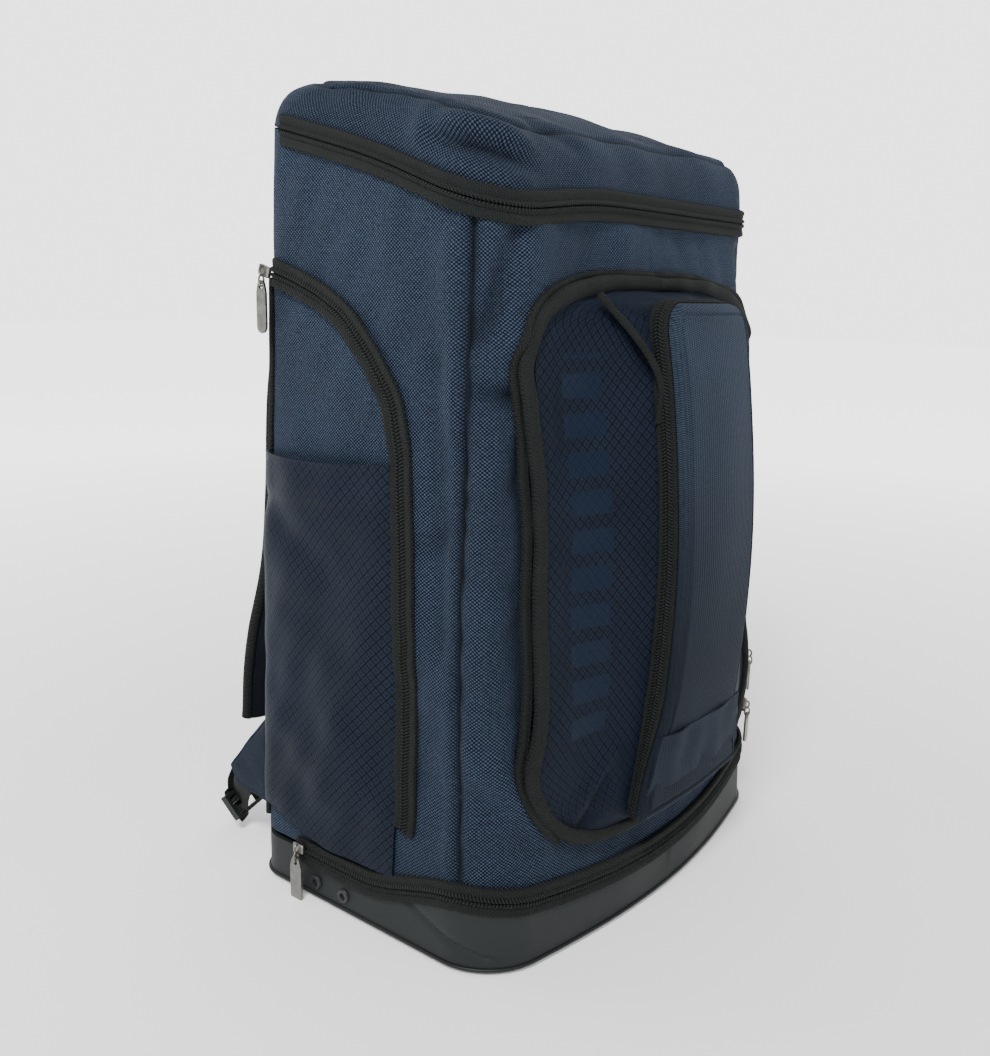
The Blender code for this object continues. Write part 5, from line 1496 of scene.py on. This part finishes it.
def cup(name, outline, low, high, wall, material):
    """Open-topped pouch with a floor, from a closed outline of x and y."""
    centre = outline.mean(axis=0)
    rows = [(k, low) for k in np.linspace(0.02, 0.985, 8)] + [(1.0, low + 0.002 + (high - low - 0.002) * s)
                                                           for s in np.linspace(0.0, 1.0, 40)]
    outer = np.stack([stack(*(centre + (outline - centre) * k).T, z) for k, z in rows])
    inner = outer.copy()
    inner[:, :, :2] = centre + (outer[:, :, :2] - centre) * (1 - wall * np.array([1 / 0.118, 1 / 0.012]))
    inner[:8, :, 2] += wall
    inner[8:, :, 2] = np.maximum(inner[8:, :, 2], low + 2 * wall)
    sway = 0.0008 * waves(outer[..., 0], outer[..., 2], 0.08, 95) * step01((outer[..., 2] - low) / 0.05)
    outer[..., 1] += sway
    inner[..., 1] += sway
    u, v = around(outer[-1], len(outer)), looped(outer[..., 2])
    piece = cloth(name, outer, inner, u, v, material, wrap=True)
    mount(piece, "pack", "lining")
    return piece


def build_sleeve():
    low, high = box_of("laptop_sleeve")
    corner = 0.006
    middle = (low + high) / 2
    reach = (high - low) / 2
    turn = np.linspace(0, 2 * math.pi, 181)[:-1]
    x = np.sign(np.cos(turn)) * np.maximum(reach[0] - corner, 0) + corner * np.cos(turn)
    y = np.sign(np.sin(turn)) * np.maximum(reach[1] - corner, 0) + corner * np.sin(turn)
    outline = np.stack([middle[0] + x, middle[1] + y], axis=1)
    outline = closed_line(outline, count=181)
    outline[:, 1] = middle[1] + (outline[:, 1] - middle[1]) * 0.92
    piece = cup("device_sleeve", outline, low[2], high[2], 0.0014, LINING)
    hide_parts("laptop_sleeve")


def build_shoe_shelf():
    x, y = ring(np.full(len(SECTION), SHELF_Z), WALL + 0.0009)
    edge = stack(x, y - bulge(x, y, SHELF_Z) * 0.98, SHELF_Z + 0 * x)
    centre = edge.mean(axis=0)
    shares = np.linspace(1.0, 0.01, 40)[:, None, None]
    grid = centre + (edge - centre) * shares
    sag = 0.004 * (1 - shares[..., 0] ** 2) + 0.0006 * waves(grid[..., 0], grid[..., 1], 0.07, 97)
    outer = grid + stack(0 * sag, 0 * sag, 0.0020 - sag * 0.5)
    inner = outer - np.array([0.0, 0.0, 0.0018])
    u, v = looped(grid[..., 0]), looped(grid[..., 1])
    piece = cloth("shoe_shelf", outer, inner, u, v, LINING, wrap=True)
    mount(piece, "pack", "lining", "shoe_divider")


# ---------------------------------------------------------------- metal and plastic
def ring_mesh(name, centre, across, radius, wire, material, squash=1.0):
    """Wire ring about an axis, round a centre."""
    axis = unit(np.asarray(across, float))
    down = np.array([0.0, 0.0, -1.0])
    down = unit(down - axis * down.dot(axis))
    out = np.cross(axis, down)
    turn = np.arange(28) * 2 * math.pi / 28
    line = centre + radius * (np.cos(turn)[:, None] * down + squash * np.sin(turn)[:, None] * out)
    normals = unit(np.cos(turn)[:, None] * down + np.sin(turn)[:, None] * out)
    return band(name, line, normals, pipe(wire, wire, count=8), material, closed=True, across=axis)


SLIDER_FACING = {"base": (-1, 0, 0), "side_zip_left": (-1, 0, 0), "side_zip_right": (1, 0, 0),
                 "lid": (1, 0, 0), "organiser": (1, 0, 0), "front": (0.62, -0.78, 0)}


def build_slider_wires():
    """Wire bridge on each slider, and a link from it to the pull."""
    for node in sorted(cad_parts):
        if not node.endswith("_slider"):
            continue
        word = node[:-len("_slider")]
        low, high = box_of(node)
        out = unit(np.array(next(v for k, v in SLIDER_FACING.items() if node.startswith(k)), float))
        across = unit(np.cross(out, [0.0, 0.0, 1.0]))
        centre = (low + high) / 2 + out * 0.0019
        bridge = ring_mesh(f"{word}_bridge", centre, across, 0.0026, 0.0007, PULL_METAL, 0.75)
        mount(bridge, node, "pull_metal")
        pull = word + "_pull"
        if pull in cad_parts:
            low, high = box_of(pull)
            top = np.array([(low[0] + high[0]) / 2, (low[1] + high[1]) / 2, high[2] - 0.0022])
            link = ring_mesh(f"{word}_link", top + [0, 0, 0.0020], across, 0.0032, 0.0006, PULL_METAL, 0.55)
            mount(link, pull, "pull_metal")


def swap_kept_materials():
    """Better materials and soft edges on the CAD pieces that stay visible."""
    slots = {"pull_metal": PULL_METAL, "moulded_black": PLASTIC, "board": BOARD}
    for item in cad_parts.values():
        given = item.data.materials[0].name if item.data.materials else ""
        kind = next((material for key, material in slots.items() if key in given), None)
        if kind is None:
            continue
        item.data.materials[0] = kind
        if kind is not BOARD:
            soft = item.modifiers.new("soft_edges", "BEVEL")
            soft.width = 0.0004
            soft.segments = 2
            soft.limit_method = "ANGLE"


for side, word in SIDES:
    build_back_pad(side, word)
build_back_ground()
for side, word in SIDES:
    build_strap(side, word)
    build_webs(side, word)
    build_anchor(side, word)
build_handle()
build_sleeve()
build_shoe_shelf()
build_slider_wires()
swap_kept_materials()


# ---------------------------------------------------------------- camera, light and floor
WHITE = (1.0, 1.0, 1.0)
SENSOR = 36.0
FOCAL_LENGTH, PICTURE_HEIGHT = 1054.74, 1056.0          # in pixels
CAMERA_PLACE = (-0.555454, -0.404562, 0.369350)
CAMERA_TURN = (51.84726, 12.67194, 1.31564)             # yaw, pitch down and roll in degrees
BRIGHT_SIDE = (0.786, 0.618, 0.0)


def add_camera():
    data = bpy.data.cameras.new("camera")
    data.sensor_fit = "AUTO"
    data.sensor_width = SENSOR
    data.lens = SENSOR * FOCAL_LENGTH / PICTURE_HEIGHT
    item = bpy.data.objects.new("camera", data)
    bpy.context.scene.collection.objects.link(item)
    yaw, pitch, roll = (math.radians(a) for a in CAMERA_TURN)
    ahead = Vector((math.sin(yaw) * math.cos(pitch), math.cos(yaw) * math.cos(pitch), -math.sin(pitch)))
    right = Vector((math.cos(yaw), -math.sin(yaw), 0.0))
    up = right.cross(ahead)
    across = right * math.cos(roll) + up * math.sin(roll)
    above = up * math.cos(roll) - right * math.sin(roll)
    turn = Matrix((across, above, -ahead)).transposed()
    item.matrix_world = Matrix.Translation(CAMERA_PLACE) @ turn.to_4x4()
    bpy.context.scene.camera = item


def add_light(name, place, aim, size, power):
    data = bpy.data.lights.new(name, "AREA")
    data.shape = "RECTANGLE"
    data.size, data.size_y = size
    data.energy = power
    item = bpy.data.objects.new(name, data)
    item.location = place
    item.rotation_euler = (Vector(aim) - Vector(place)).to_track_quat("-Z", "Y").to_euler()
    bpy.context.scene.collection.objects.link(item)


def add_studio():
    mesh = bpy.data.meshes.new("floor")
    mesh.from_pydata([(-9, -9, 0), (9, -9, 0), (9, 9, 0), (-9, 9, 0)], [], [(0, 1, 2, 3)])
    floor = add_object("floor", mesh)
    net = Net("floor_pale", 0.9, specular=0.1)
    mesh.materials.append(net.finish((0.97, 0.97, 0.97)))
    # The floor glows, painted light: dim within about 0.35 m of the bag and brightest beyond 1.9 m, a painted
    # shadow round the bag.
    away = net.add("VectorMath", {0: net.place()}, 1, operation="LENGTH")
    net.put(net.inputs["Emission Color"], WHITE)
    net.put(net.inputs["Emission Strength"], net.line(net.ramp(away, 0.35, 1.90), 1.9, 0.20))
    world = bpy.data.worlds.new("studio")
    world.use_nodes = True
    tree = world.node_tree
    background = tree.nodes["Background"]
    background.inputs[0].default_value = (*WHITE, 1.0)
    toward = tree.nodes.new("ShaderNodeVectorMath")
    toward.operation = "DOT_PRODUCT"
    toward.inputs[1].default_value = BRIGHT_SIDE
    tree.links.new(tree.nodes.new("ShaderNodeTexCoord").outputs["Generated"], toward.inputs[0])
    backdrop = tree.nodes.new("ShaderNodeMapRange")
    backdrop.interpolation_type = "SMOOTHSTEP"
    for key, value in (("From Min", 0.45), ("From Max", 0.88), ("To Min", 0.60), ("To Max", 2.8)):
        backdrop.inputs[key].default_value = value
    tree.links.new(toward.outputs["Value"], backdrop.inputs["Value"])
    tree.links.new(backdrop.outputs[0], background.inputs[1])
    bpy.context.scene.world = world
    add_light("key", (-1.55, -0.65, 2.05), (0.0, 0.0, 0.28), (0.6, 0.5), 70.0)
    add_light("front", (0.5, -2.0, 1.1), (0.0, 0.0, 0.25), (1.3, 1.1), 4.0)
    add_light("rear", (-0.6, 1.8, 1.5), (0.0, 0.0, 0.25), (1.2, 1.0), 13.0)


add_camera()
add_studio()
